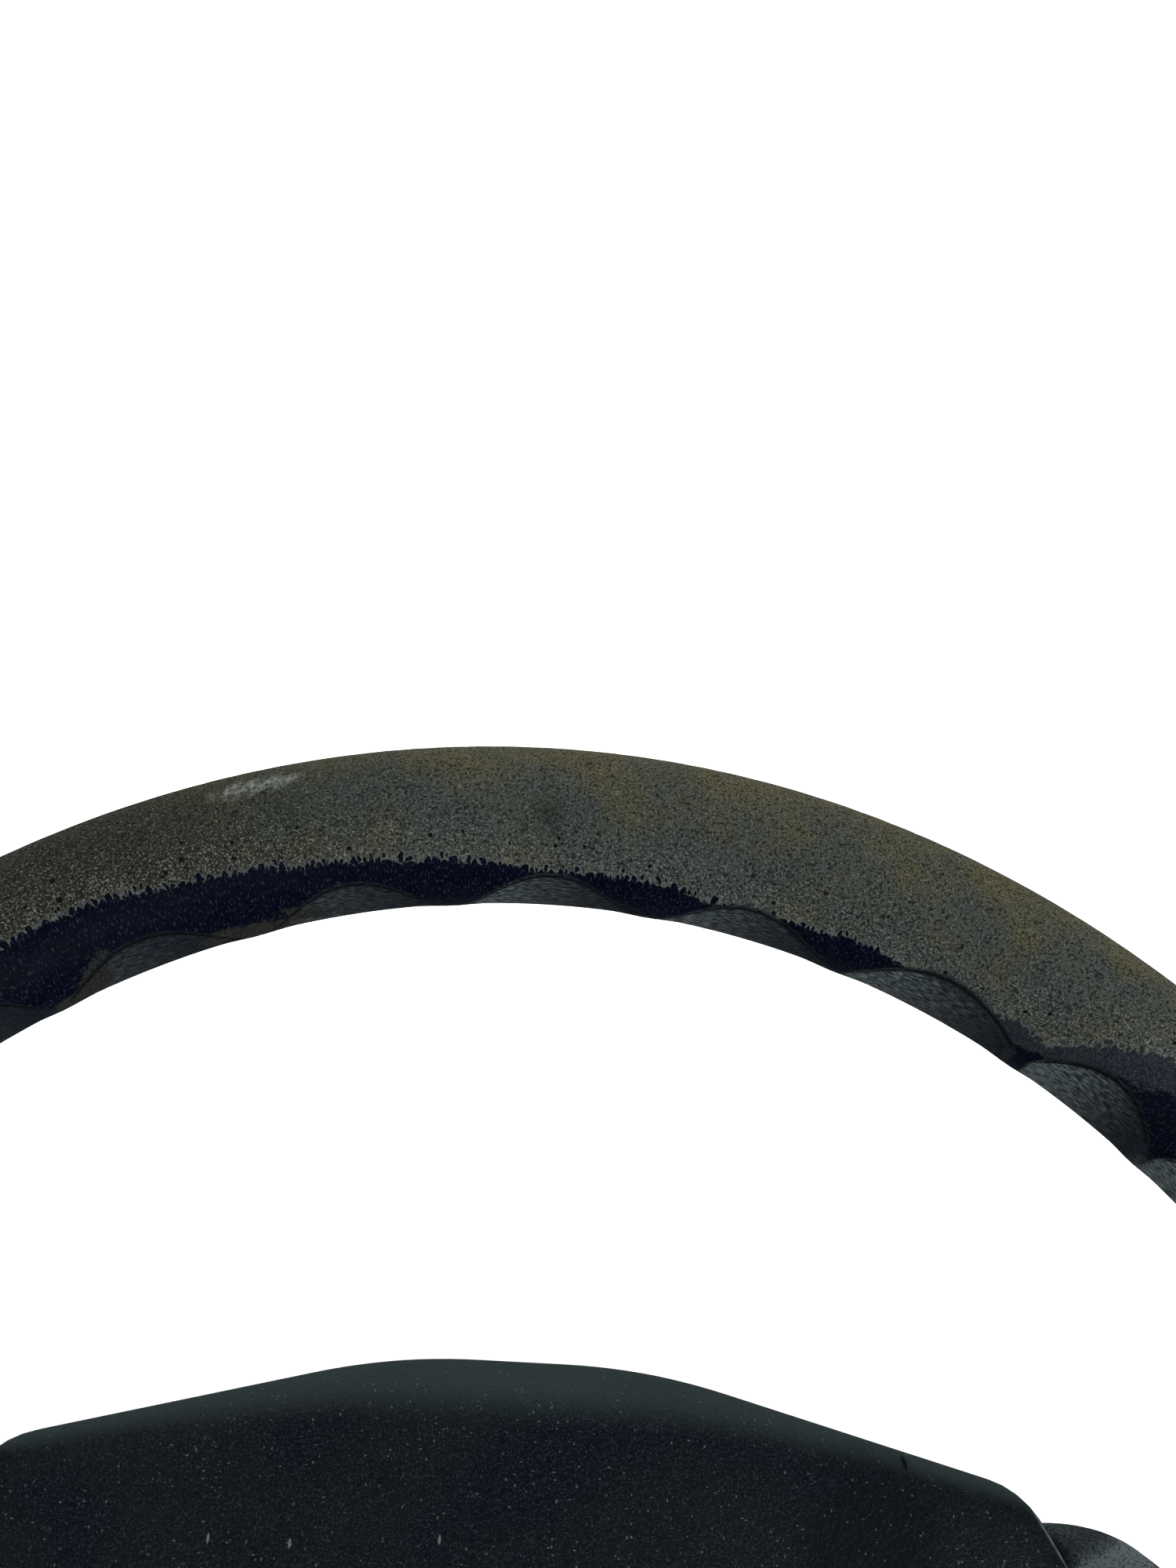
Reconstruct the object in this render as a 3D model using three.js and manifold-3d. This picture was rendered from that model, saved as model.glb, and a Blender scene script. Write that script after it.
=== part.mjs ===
// Four-spoke car steering wheel of the 1990s: a finger-grip rim, and a padded cover that is the horn push.
// Frame: origin on the column axis in the plane of the rear shroud's edge, +Z towards the driver,
// +Y towards twelve o'clock and +X to the driver's right. Millimetres.
import * as THREE from "three";
import { mergeVertices } from "three/addons/utils/BufferGeometryUtils.js";
import Module from "manifold-3d";

const wasm = await Module();
wasm.setup();

// ---- driving dimensions ----
const CLEARANCE = 0.3; // between pieces that touch
const HORN_TRAVEL = 2.5;

const RIM_OUTER_DIAMETER = 380;
const GRIP_THICKNESS = 30;
const RIM_PLANE_Z = 66;
const CORE_ROD_DIAMETER = 11;
const SCALLOP_DEPTH = 1.2;

const BAR_WIDTH = 18;
const BAR_THICKNESS = 4;
const PLATE_THICKNESS = 3;
const PLATE_BOTTOM_Z = 33.3;
const BOSS_RADIUS = 21;
const BOSS_BORE_RADIUS = 8.5;
const BOSS_FLANGE_THICKNESS = 4;
const STUD_RADIUS = 7; // the threaded end of the steering shaft
const TRAY_BOTTOM_Z = 33.7;
const TRAY_TOP_Z = 43;
const TRAY_INSET = 7; // how far the tray stops inside the pad's outline

const SKIRT_BOTTOM_Z = 46.3;
const PAD_CROWN_Z = 68;
const PAD_CAVITY_TOP_Z = 52.6;
const PAD_WALL = 5.5;
const POCKET_GAP = 2.2; // between the pad's side and the recess in the spokes

const SHROUD_EDGE_RADIUS = 52;
const SHROUD_WALL = 2.5;
const SHROUD_FLANGE_INSETS = [9, 24]; // the screw flange's outer and inner edge, inside the pad's outline

// ---- worked out from them ----
const ABOVE_ALL_Z = 100; // higher than the whole wheel, for cutting shapes
const SMALL_HOLE_SIDES = 8;
const GRIP_RADIUS = GRIP_THICKNESS / 2;
const RIM_RADIUS = RIM_OUTER_DIAMETER / 2 - GRIP_RADIUS;
const CORE_RADIUS = CORE_ROD_DIAMETER / 2;
const PLATE_TOP_Z = PLATE_BOTTOM_Z + PLATE_THICKNESS;
const BAR_BOTTOM_Z = PLATE_TOP_Z + CLEARANCE;
const BACKING_THICKNESS = 2.5;
const BACKING_TOP_Z = PAD_CAVITY_TOP_Z - CLEARANCE;
const BACKING_BOTTOM_Z = BACKING_TOP_Z - BACKING_THICKNESS;
const CONTACT_PLATE_THICKNESS = 1.2;
const CONTACT_PLATE_TOP_Z = BACKING_BOTTOM_Z - CLEARANCE;
const CONTACT_PLATE_BOTTOM_Z = CONTACT_PLATE_TOP_Z - CONTACT_PLATE_THICKNESS;

// ---- materials ----
function paint(color, roughness, metalness = 0) {
  return new THREE.MeshStandardMaterial({ color, roughness, metalness });
}

const gripFoam = paint(0x3f4038, 0.85);
const padVinyl = paint(0x11181c, 0.55);
const blackPlastic = paint(0x17181a, 0.6);
const nylon = paint(0xd8d2c0, 0.5);
const blackSteel = paint(0x2a2b2d, 0.5, 0.8);
const zincSteel = paint(0xb4b6b8, 0.35, 0.9);
const springSteel = paint(0x8b8d90, 0.3, 1);
const brass = paint(0xb8923c, 0.3, 1);

// ---- building blocks ----
const radians = THREE.MathUtils.degToRad;
const group = new THREE.Group();

function add(name, geometry, material) {
  const mesh = new THREE.Mesh(geometry, material);
  mesh.name = name;
  group.add(mesh);
  return mesh;
}

function toSolid(geometry) {
  const bare = geometry.index ? geometry.toNonIndexed() : geometry.clone();
  bare.deleteAttribute("normal");
  bare.deleteAttribute("uv");
  const merged = mergeVertices(bare, 1e-4);
  return new wasm.Manifold(
    new wasm.Mesh({
      numProp: 3,
      vertProperties: merged.attributes.position.array,
      triVerts: new Uint32Array(merged.index.array),
    }),
  );
}

function toGeometry(solid) {
  const mesh = solid.getMesh();
  const geometry = new THREE.BufferGeometry();
  geometry.setAttribute("position", new THREE.BufferAttribute(mesh.vertProperties, 3));
  geometry.setIndex(new THREE.BufferAttribute(mesh.triVerts, 1));
  return geometry;
}

const union = (...geometries) => geometries.map(toSolid).reduce((a, b) => a.add(b));
const cut = (solid, ...geometries) => geometries.map(toSolid).reduce((a, b) => a.subtract(b), solid);

// Six times the volume that the triangles enclose: negative when the surface faces inwards.
function signedVolume(positions, index) {
  const [a, b, c] = [new THREE.Vector3(), new THREE.Vector3(), new THREE.Vector3()];
  let sum = 0;
  for (let i = 0; i < index.length; i += 3) {
    a.fromArray(positions, 3 * index[i]);
    b.fromArray(positions, 3 * index[i + 1]);
    c.fromArray(positions, 3 * index[i + 2]);
    sum += a.dot(b.cross(c));
  }
  return sum;
}

// A skin over rings of equally many points. It closes on its first ring, or gets a flat fan over each end.
function loft(rings, closed = false) {
  const count = rings[0].length;
  const points = rings.flat();
  const index = [];
  const spans = closed ? rings.length : rings.length - 1;
  for (let r = 0; r < spans; r++) {
    const [here, next] = [r * count, ((r + 1) % rings.length) * count];
    for (let k = 0; k < count; k++) {
      const m = (k + 1) % count;
      index.push(here + k, here + m, next + m, here + k, next + m, next + k);
    }
  }
  if (!closed) {
    for (const [ring, flip] of [[0, true], [rings.length - 1, false]]) {
      const centre = points.length;
      points.push(rings[ring].reduce((sum, p) => sum.add(p), new THREE.Vector3()).divideScalar(count));
      for (let k = 0; k < count; k++) {
        const [p, q] = [ring * count + k, ring * count + ((k + 1) % count)];
        index.push(centre, flip ? q : p, flip ? p : q);
      }
    }
  }
  const positions = points.flatMap((p) => [p.x, p.y, p.z]);
  if (signedVolume(positions, index) < 0) index.reverse();
  const geometry = new THREE.BufferGeometry();
  geometry.setAttribute("position", new THREE.Float32BufferAttribute(positions, 3));
  geometry.setIndex(index);
  return geometry;
}

// A flat shape between two heights.
function slab(shape, bottom, top, curveSegments = 8) {
  const options = { depth: top - bottom, bevelEnabled: false, curveSegments };
  return new THREE.ExtrudeGeometry(shape, options).translate(0, 0, bottom);
}

// A piece turned about the Z axis, from [radius, z] pairs that close on themselves or run from axis to axis.
function turned(profile, segments = 24) {
  const points = profile.map(([r, z]) => new THREE.Vector2(r, z));
  const geometry = new THREE.LatheGeometry(points, segments);
  return geometry.rotateX(Math.PI / 2);
}

const disc = (radius, bottom, top, sides = 16) => {
  const geometry = new THREE.CylinderGeometry(radius, radius, top - bottom, sides);
  return geometry.rotateX(Math.PI / 2).translate(0, 0, (top + bottom) / 2);
};

function tube(outer, inner, bottom, top, segments = 24) {
  return turned([[inner, bottom], [outer, bottom], [outer, top], [inner, top], [inner, bottom]], segments);
}

// A closed outline of [x, y, trim] corners, each rounded off from `trim` before it to `trim` after it.
function roundedPath(corners) {
  const path = new THREE.Shape();
  corners.forEach(([x, y, trim], i) => {
    const corner = new THREE.Vector2(x, y);
    const [before, after] = [corners.at(i - 1), corners[(i + 1) % corners.length]].map(([u, v]) =>
      new THREE.Vector2(u, v).sub(corner).setLength(trim).add(corner),
    );
    if (i === 0) path.moveTo(before.x, before.y);
    else path.lineTo(before.x, before.y);
    path.quadraticCurveTo(x, y, after.x, after.y);
  });
  path.closePath();
  return path;
}

const mirrored = (corners) => [...corners, ...corners.toReversed().map(([x, y, trim]) => [-x, y, trim])];

function roundedRectangle(halfWidth, halfHeight, trim) {
  return roundedPath(mirrored([[halfWidth, halfHeight, trim], [halfWidth, -halfHeight, trim]]));
}

// The corners of a regular polygon; its vertices lie on the circle.
function polygon(radius, sides, x = 0, y = 0) {
  return Array.from({ length: sides }, (_, k) => {
    const turn = (2 * Math.PI * k) / sides;
    return new THREE.Vector2(x + radius * Math.cos(turn), y + radius * Math.sin(turn));
  });
}

function circleHole(shape, x, y, radius, sides = 12) {
  shape.holes.push(new THREE.Path(polygon(radius, sides, x, y)));
}

// ---- the pad's outline, which the tray, the pocket and the shroud follow ----
const OUTLINE_POINTS = 56;
const PAD_CORNERS = mirrored([
  [22, 80.5, 14],
  [89, 63.8, 8],
  [102, 22, 18],
  [93, -50, 14],
  [68, -78, 12],
]);
const padOutline = roundedPath(PAD_CORNERS).getSpacedPoints(OUTLINE_POINTS).slice(0, OUTLINE_POINTS);

// The pad's outline moved outwards by `distance`, or inwards when it is negative.
function outlineAt(distance) {
  return padOutline.map((point, i) => {
    const before = padOutline.at(i - 1);
    const after = padOutline[(i + 1) % OUTLINE_POINTS];
    const along = after.clone().sub(before).normalize();
    const outward = new THREE.Vector2(along.y, -along.x);
    if (outward.dot(point) < 0) outward.negate();
    return point.clone().addScaledVector(outward, distance);
  });
}

const ringAt = (outline, z, scale = 1) => outline.map((p) => new THREE.Vector3(p.x * scale, p.y * scale, z));

// A ring between a circle (share 0) and the pad's outline moved by `distance` (share 1).
function blendedRing(radius, distance, share, z) {
  return outlineAt(distance).map((p) => {
    const round = p.clone().setLength(radius);
    const mixed = round.lerp(p, share);
    return new THREE.Vector3(mixed.x, mixed.y, z);
  });
}

// ---- rim ----
// Ridges between the finger scallops, as angles from +X, in one run for each gap between spokes.
// They stand closer together at ten and two o'clock, where the hands lie.
const SCALLOP_RIDGES_DEG = [
  [18.5, 28.5, 38.5, 48, 57.5, 70.5, 83.5, 96.5, 109.5, 122.5, 132, 141.5, 151.5, 161.5],
  [193.5, 206.5, 219.5, 232.5],
  [257, 270, 283],
  [307.5, 320.5, 333.5, 346.5],
];
const SCALLOP_STEPS = 4;
const PLAIN_STEP_DEG = 4;
const SECTION_SIDES = 16;
const SCALLOP_FROM_DEG = 150; // round the section from the outside (0) by the front (90) to the inside (180)
const SCALLOP_TO_DEG = 292;

// Angles round the rim with how deep into a scallop each is, from 0 on a ridge to 1 mid-scallop.
function rimStations() {
  const stations = [];
  SCALLOP_RIDGES_DEG.forEach((ridges, run) => {
    for (let r = 0; r + 1 < ridges.length; r++) {
      for (let s = 0; s < SCALLOP_STEPS; s++) {
        const phase = s / SCALLOP_STEPS;
        const angle = THREE.MathUtils.lerp(ridges[r], ridges[r + 1], phase);
        stations.push({ angle, depth: 1 - (2 * phase - 1) ** 2 });
      }
    }
    const from = ridges.at(-1);
    const last = run + 1 === SCALLOP_RIDGES_DEG.length;
    const next = last ? SCALLOP_RIDGES_DEG[0][0] + 360 : SCALLOP_RIDGES_DEG[run + 1][0];
    const plainSteps = Math.ceil((next - from) / PLAIN_STEP_DEG);
    for (let s = 0; s < plainSteps; s++) {
      stations.push({ angle: THREE.MathUtils.lerp(from, next, s / plainSteps), depth: 0 });
    }
  });
  return stations;
}

function gripRing({ angle, depth }) {
  const ring = [];
  const outward = new THREE.Vector3(Math.cos(radians(angle)), Math.sin(radians(angle)), 0);
  for (let k = 0; k < SECTION_SIDES; k++) {
    const turn = (360 * k) / SECTION_SIDES;
    const scalloped = turn > SCALLOP_FROM_DEG && turn < SCALLOP_TO_DEG;
    const radius = GRIP_RADIUS - (scalloped ? SCALLOP_DEPTH * depth : 0);
    const point = outward.clone().multiplyScalar(RIM_RADIUS + radius * Math.cos(radians(turn)));
    ring.push(point.setZ(RIM_PLANE_Z + radius * Math.sin(radians(turn))));
  }
  return ring;
}

function rodRing(radius) {
  return new THREE.TorusGeometry(RIM_RADIUS, radius, 6, 48).translate(0, 0, RIM_PLANE_Z);
}

// ---- spokes ----
// Sections across a spoke, in its own frame with X along it: [x, low y, high y, bottom z, top z].
const UPPER_SPOKE = [
  [58, -12, 44, 33.7, 46],
  [84, -14, 54, 33.7, 48],
  [96, -15, 58.2, 34.2, 48.6],
  [104, -16, 57.4, 35.6, 49.6],
  [114, -18, 52.5, 38.4, 51.8],
  [128, -20, 43, 43.2, 57],
  [142, -22, 34.5, 48.4, 63.5],
  [154, -24.5, 28.5, 53, 70],
  [164, -27, 26.5, 57, 74],
  [170, -28, 27, 59, 74.5],
];
const LOWER_SPOKE = [
  [58, -21, 21, 33.7, 46],
  [78, -20, 20, 33.7, 47.5],
  [90, -19.5, 19.5, 34.4, 48.4],
  [104, -18, 18, 36.6, 50],
  [120, -16.5, 16.5, 41, 55],
  [136, -16, 16, 46.6, 61.5],
  [150, -17, 17, 52, 68],
  [162, -19, 19, 57, 74],
  [170, -20, 20, 59, 74.5],
];
// The steel bar down the middle of each: [x, centre y, centre z].
const BAR_CENTRE_Z = BAR_BOTTOM_Z + BAR_THICKNESS / 2;
const BAR_END_X = RIM_RADIUS - CORE_RADIUS - 1; // short of the rod all the way across the bar
const UPPER_BAR = [
  [34, 16, BAR_CENTRE_Z],
  [92, 17, BAR_CENTRE_Z],
  [112, 15, 44.5],
  [142, 6, 56],
  [BAR_END_X - 0.6, -1, 65],
];
const LOWER_BAR = [
  [34, 0, BAR_CENTRE_Z],
  [86, 0, BAR_CENTRE_Z],
  [104, 0, 43],
  [136, 0, 54],
  [BAR_END_X, 0, 65],
];
const LOWER_SPOKE_TURN = radians(-65);
const SPOKE_SECTION_SIDES = 16;
const SPOKE_SQUARENESS = 0.5; // the power in a superellipse: 1 is an ellipse, 0 a rectangle

const soften = (value) => Math.sign(value) * Math.abs(value) ** SPOKE_SQUARENESS;

function spokeSkin(sections) {
  return sections.map(([x, lowY, highY, bottomZ, topZ]) =>
    Array.from({ length: SPOKE_SECTION_SIDES }, (_, k) => {
      const turn = (2 * Math.PI * (k + 0.5)) / SPOKE_SECTION_SIDES;
      const y = (lowY + highY) / 2 + ((highY - lowY) / 2) * soften(Math.cos(turn));
      const z = (bottomZ + topZ) / 2 + ((topZ - bottomZ) / 2) * soften(Math.sin(turn));
      return new THREE.Vector3(x, y, z);
    }),
  );
}

function barSkin(centres, grow = 0) {
  const [halfWidth, halfThickness] = [BAR_WIDTH / 2 + grow, BAR_THICKNESS / 2 + grow];
  return centres.map(([x, y, z], i) => {
    const reach = i === centres.length - 1 ? grow : 0;
    return [[1, 1], [-1, 1], [-1, -1], [1, -1]].map(
      ([across, up]) => new THREE.Vector3(x + reach, y + across * halfWidth, z + up * halfThickness),
    );
  });
}

// The four places that a spoke goes: the rings of its skin are turned, then mirrored for the left.
const SPOKES = [
  { name: "upper_right", skin: UPPER_SPOKE, bar: UPPER_BAR, turn: 0, mirror: false },
  { name: "upper_left", skin: UPPER_SPOKE, bar: UPPER_BAR, turn: 0, mirror: true },
  { name: "lower_right", skin: LOWER_SPOKE, bar: LOWER_BAR, turn: LOWER_SPOKE_TURN, mirror: false },
  { name: "lower_left", skin: LOWER_SPOKE, bar: LOWER_BAR, turn: LOWER_SPOKE_TURN, mirror: true },
];

function placed(rings, { turn, mirror }) {
  const axis = new THREE.Vector3(0, 0, 1);
  return rings.map((ring) =>
    ring.map((point) => {
      const there = point.clone().applyAxisAngle(axis, turn);
      return mirror ? there.setX(-there.x) : there;
    }),
  );
}

// ---- hub: where things go on the plate ----
const HORN_SCREWS = [[40, 37], [-40, 37], [-46, -30], [46, -30]];
const CONTACT_POINTS = [[0, 37], [0, -37]];
const SHROUD_SCREWS = [[82, 36], [-82, 36], [-77, -44], [77, -44]];
const PLATE_HALF = [56, 47];
const PLATE_CORNER = 12;
const OPENING_MARGIN = 2.5; // round the plate, to the edge of the opening in the moulding
const BUSH_RADIUS = 5;
const BUSH_BORE = 3.3;
const SHOULDER_RADIUS = 3;
const THREAD_RADIUS = 2;
const SHROUD_SCREW_RADIUS = 2;

// ---- moulding: rim, spokes and the tray under the pad, in one piece of foam with a skin ----
function moulding() {
  const rim = loft(rimStations().map(gripRing), true);
  const skins = SPOKES.map((spoke) => loft(placed(spokeSkin(spoke.skin), spoke)));
  const tray = slab(new THREE.Shape(outlineAt(-TRAY_INSET)), TRAY_BOTTOM_Z, TRAY_TOP_Z);
  const openingHalf = PLATE_HALF.map((half) => half + OPENING_MARGIN);
  const opening = slab(roundedRectangle(...openingHalf, PLATE_CORNER + OPENING_MARGIN), 0, ABOVE_ALL_Z);
  const pocket = slab(new THREE.Shape(outlineAt(POCKET_GAP)), TRAY_TOP_Z, ABOVE_ALL_Z);
  const barSlots = SPOKES.map((spoke) => loft(placed(barSkin(spoke.bar, CLEARANCE), spoke)));
  const screwHoles = SHROUD_SCREWS.map(([x, y]) =>
    disc(SHROUD_SCREW_RADIUS + CLEARANCE, 0, TRAY_TOP_Z - 1, SMALL_HOLE_SIDES).translate(x, y, 0),
  );
  const coreSlot = rodRing(CORE_RADIUS + CLEARANCE);
  return cut(union(rim, tray, ...skins), opening, pocket, coreSlot, ...barSlots, ...screwHoles);
}

// ---- armature ----
function hubPlate() {
  const shape = roundedRectangle(...PLATE_HALF, PLATE_CORNER);
  circleHole(shape, 0, 0, BOSS_RADIUS + 2 * CLEARANCE, BOSS_SEGMENTS);
  for (const [x, y] of HORN_SCREWS) circleHole(shape, x, y, BUSH_RADIUS + 2 * CLEARANCE, 14);
  return slab(shape, PLATE_BOTTOM_Z, PLATE_TOP_Z, 7);
}

// A turned boss: splined bore below, and above it a wide seat that takes the nut.
const BOSS_SEGMENTS = 28;
const BOSS_BOTTOM_Z = 1;
const BOSS_TOP_Z = 37.5;
const BOSS_FLANGE_TOP_Z = PLATE_BOTTOM_Z - CLEARANCE;
const BOSS_FLANGE_BOTTOM_Z = BOSS_FLANGE_TOP_Z - BOSS_FLANGE_THICKNESS;
const NUT_SEAT_Z = 27.5;
const NUT_WELL_RADIUS = 16;
const FLANGE_RADIUS = 30;
const WASHER_RADIUS = 14.5;
const WASHER_BOTTOM_Z = NUT_SEAT_Z + CLEARANCE;
const WASHER_TOP_Z = WASHER_BOTTOM_Z + 2;
const NUT_CORNER_RADIUS = 12.7;
const NUT_HEIGHT = 10;
const SPLINE_TEETH = 20;
const SPLINE_DEPTH = 0.8;

function hubBoss() {
  const blank = turned(
    [
      [0, BOSS_BOTTOM_Z],
      [BOSS_RADIUS, BOSS_BOTTOM_Z],
      [BOSS_RADIUS, BOSS_FLANGE_BOTTOM_Z],
      [FLANGE_RADIUS, BOSS_FLANGE_BOTTOM_Z],
      [FLANGE_RADIUS, BOSS_FLANGE_TOP_Z],
      [BOSS_RADIUS, BOSS_FLANGE_TOP_Z],
      [BOSS_RADIUS, BOSS_TOP_Z],
      [0, BOSS_TOP_Z],
    ],
    BOSS_SEGMENTS,
  );
  const spline = new THREE.Shape(
    Array.from({ length: 2 * SPLINE_TEETH }, (_, k) => {
      const turn = (Math.PI * k) / SPLINE_TEETH;
      const radius = BOSS_BORE_RADIUS + (k % 2 ? SPLINE_DEPTH : 0);
      return new THREE.Vector2(radius * Math.cos(turn), radius * Math.sin(turn));
    }),
  );
  const bore = slab(spline, 0, NUT_SEAT_Z + 1);
  const well = disc(NUT_WELL_RADIUS, NUT_SEAT_Z, ABOVE_ALL_Z, 24);
  return cut(toSolid(blank), bore, well);
}

function nut() {
  const bottom = WASHER_TOP_Z + CLEARANCE;
  const shape = new THREE.Shape(polygon(NUT_CORNER_RADIUS, 6));
  circleHole(shape, 0, 0, STUD_RADIUS);
  return slab(shape, bottom, bottom + NUT_HEIGHT);
}

// ---- behind the hub: horn slip ring on the carrier with the two indicator-cancelling lobes ----
const CARRIER_FLANGE_Z = [4.5, 9.5];
const CARRIER_RADIUS = 37;
const SLEEVE_RADIUS = 24.5;
const LOBE_RADIUS = 43;
const LOBE_ROOT_RADIUS = 30;
const LOBE_HALF_ANGLE = radians(16);
const SLIP_RING_RADII = [35, 28];
const SLIP_RING_TOP_Z = CARRIER_FLANGE_Z[0] - CLEARANCE;
const SLIP_RING_BOTTOM_Z = SLIP_RING_TOP_Z - 1.2;

function carrier() {
  const inner = BOSS_RADIUS + CLEARANCE;
  const sleeveTop = BOSS_FLANGE_BOTTOM_Z - CLEARANCE;
  const body = turned(
    [
      [inner, CARRIER_FLANGE_Z[0]],
      [CARRIER_RADIUS, CARRIER_FLANGE_Z[0]],
      [CARRIER_RADIUS, CARRIER_FLANGE_Z[1]],
      [SLEEVE_RADIUS, CARRIER_FLANGE_Z[1]],
      [SLEEVE_RADIUS, sleeveTop],
      [inner, sleeveTop],
      [inner, CARRIER_FLANGE_Z[0]],
    ],
    BOSS_SEGMENTS,
  );
  const lobes = [0, Math.PI].map((turn) => {
    const shape = new THREE.Shape();
    shape.absarc(0, 0, LOBE_RADIUS, turn - LOBE_HALF_ANGLE, turn + LOBE_HALF_ANGLE, false);
    const rootAngle = LOBE_HALF_ANGLE * 1.5;
    shape.absarc(0, 0, LOBE_ROOT_RADIUS, turn + rootAngle, turn - rootAngle, true);
    shape.closePath();
    return slab(shape, ...CARRIER_FLANGE_Z, 4);
  });
  return union(body, ...lobes);
}

// ---- rear shroud: a round edge at the column that opens out to the tray ----
function shroud() {
  const flangeTop = TRAY_BOTTOM_Z - CLEARANCE;
  const flangeBottom = flangeTop - SHROUD_WALL;
  const outer = SHROUD_EDGE_RADIUS;
  const inner = outer - SHROUD_WALL;
  const [lip, neck] = SHROUD_FLANGE_INSETS.map((inset) => -inset);
  const rings = [
    blendedRing(outer, neck, 0, 0),
    blendedRing(outer + 1, neck, 0, 10),
    blendedRing(outer + 4, neck, 0.45, 22),
    blendedRing(outer, neck, 1, flangeBottom),
    blendedRing(outer, lip, 1, flangeBottom),
    blendedRing(outer, lip, 1, flangeTop),
    blendedRing(inner, neck - SHROUD_WALL, 1, flangeTop),
    blendedRing(inner + 4, neck - SHROUD_WALL, 0.45, 23.5),
    blendedRing(inner + 1, neck, 0, 11),
    blendedRing(inner, neck, 0, 0),
  ];
  const holes = SHROUD_SCREWS.map(([x, y]) =>
    disc(SHROUD_SCREW_RADIUS + CLEARANCE, 0, TRAY_TOP_Z, SMALL_HOLE_SIDES).translate(x, y, 0),
  );
  return cut(toSolid(loft(rings, true)), ...holes);
}

// ---- the padded cover and what is fixed to it ----
function padCover() {
  // Up the side and over the shoulder: [distance in from the outline, z].
  const side = [
    [1.2, SKIRT_BOTTOM_Z],
    [0, SKIRT_BOTTOM_Z + 2.5],
    [0, 54],
    [1.3, 57.5],
    [4.5, 60.6],
    [10, 62.9],
  ];
  // Then over the crown: [scale of the shoulder's last ring, z].
  const crown = [[0.78, 65.2], [0.5, 67.2], [0.22, PAD_CROWN_Z]];
  const shoulder = outlineAt(-side.at(-1)[0]);
  const outer = [
    ...side.map(([inward, z]) => ringAt(outlineAt(-inward), z)),
    ...crown.map(([scale, z]) => ringAt(shoulder, z, scale)),
  ];
  const cavity = slab(new THREE.Shape(outlineAt(-PAD_WALL)), 0, PAD_CAVITY_TOP_Z);
  return cut(toSolid(loft(outer)), cavity);
}

function backingPlate() {
  const shape = new THREE.Shape(outlineAt(-PAD_WALL - 2 * CLEARANCE));
  for (const [x, y] of HORN_SCREWS) circleHole(shape, x, y, THREAD_RADIUS + CLEARANCE);
  return slab(shape, BACKING_BOTTOM_Z, BACKING_TOP_Z, 4);
}

const CONTACT_PLATE_HALF = [54, 46];
const CONTACT_PLATE_HOLE_RADIUS = 24; // over the hub nut

function contactPlate() {
  const shape = roundedRectangle(...CONTACT_PLATE_HALF, PLATE_CORNER);
  circleHole(shape, 0, 0, CONTACT_PLATE_HOLE_RADIUS, BOSS_SEGMENTS);
  for (const [x, y] of HORN_SCREWS) circleHole(shape, x, y, THREAD_RADIUS + CLEARANCE);
  return slab(shape, CONTACT_PLATE_BOTTOM_Z, CONTACT_PLATE_TOP_Z, 5);
}

// ---- the four sprung fixings of the pad ----
const BUSH_FLANGE_RADIUS = 8.5;
const BUSH_FLANGE_BOTTOM_Z = PLATE_TOP_Z + CLEARANCE;
const BUSH_FLANGE_TOP_Z = BUSH_FLANGE_BOTTOM_Z + 1.6;
const BUSH_BOTTOM_Z = PLATE_BOTTOM_Z - 2 * CLEARANCE;
const SPRING_WIRE = 1.2;
const SPRING_RADIUS = 5.4;
const SPRING_TURNS = 3.5;
const STEPS_PER_TURN = 8;
const HEAD_RADIUS = 5.6;
const HEAD_HEIGHT = 2.8;

function bush() {
  return turned(
    [
      [BUSH_BORE, BUSH_BOTTOM_Z],
      [BUSH_RADIUS, BUSH_BOTTOM_Z],
      [BUSH_RADIUS, BUSH_FLANGE_BOTTOM_Z],
      [BUSH_FLANGE_RADIUS, BUSH_FLANGE_BOTTOM_Z],
      [BUSH_FLANGE_RADIUS, BUSH_FLANGE_TOP_Z],
      [BUSH_BORE, BUSH_FLANGE_TOP_Z],
      [BUSH_BORE, BUSH_BOTTOM_Z],
    ],
    14,
  );
}

// A stepped screw: its shoulder slides in the bush, and its head under the bush stops the pad from rising.
function shoulderScrew() {
  const headTop = BUSH_BOTTOM_Z - CLEARANCE;
  const shoulderTop = CONTACT_PLATE_BOTTOM_Z - CLEARANCE;
  return turned(
    [
      [0, headTop - HEAD_HEIGHT],
      [HEAD_RADIUS, headTop - HEAD_HEIGHT],
      [HEAD_RADIUS, headTop],
      [SHOULDER_RADIUS, headTop],
      [SHOULDER_RADIUS, shoulderTop],
      [THREAD_RADIUS, shoulderTop],
      [THREAD_RADIUS, BACKING_TOP_Z - CLEARANCE],
      [0, BACKING_TOP_Z - CLEARANCE],
    ],
    12,
  );
}

class Helix extends THREE.Curve {
  constructor(radius, turns, bottom, top) {
    super();
    Object.assign(this, { radius, turns, bottom, top });
  }

  getPoint(share, target = new THREE.Vector3()) {
    const turn = 2 * Math.PI * this.turns * share;
    const z = THREE.MathUtils.lerp(this.bottom, this.top, share);
    return target.set(this.radius * Math.cos(turn), this.radius * Math.sin(turn), z);
  }
}

const SPRING_BOTTOM_Z = BUSH_FLANGE_TOP_Z + CLEARANCE;
const SPRING_TOP_Z = CONTACT_PLATE_BOTTOM_Z - CLEARANCE;

function spring() {
  const wire = new THREE.Shape(polygon(SPRING_WIRE / 2, 5));
  const rise = SPRING_WIRE / 2;
  const path = new Helix(SPRING_RADIUS, SPRING_TURNS, SPRING_BOTTOM_Z + rise, SPRING_TOP_Z - rise);
  const steps = Math.round(SPRING_TURNS * STEPS_PER_TURN);
  return new THREE.ExtrudeGeometry(wire, { steps, bevelEnabled: false, extrudePath: path });
}

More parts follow.
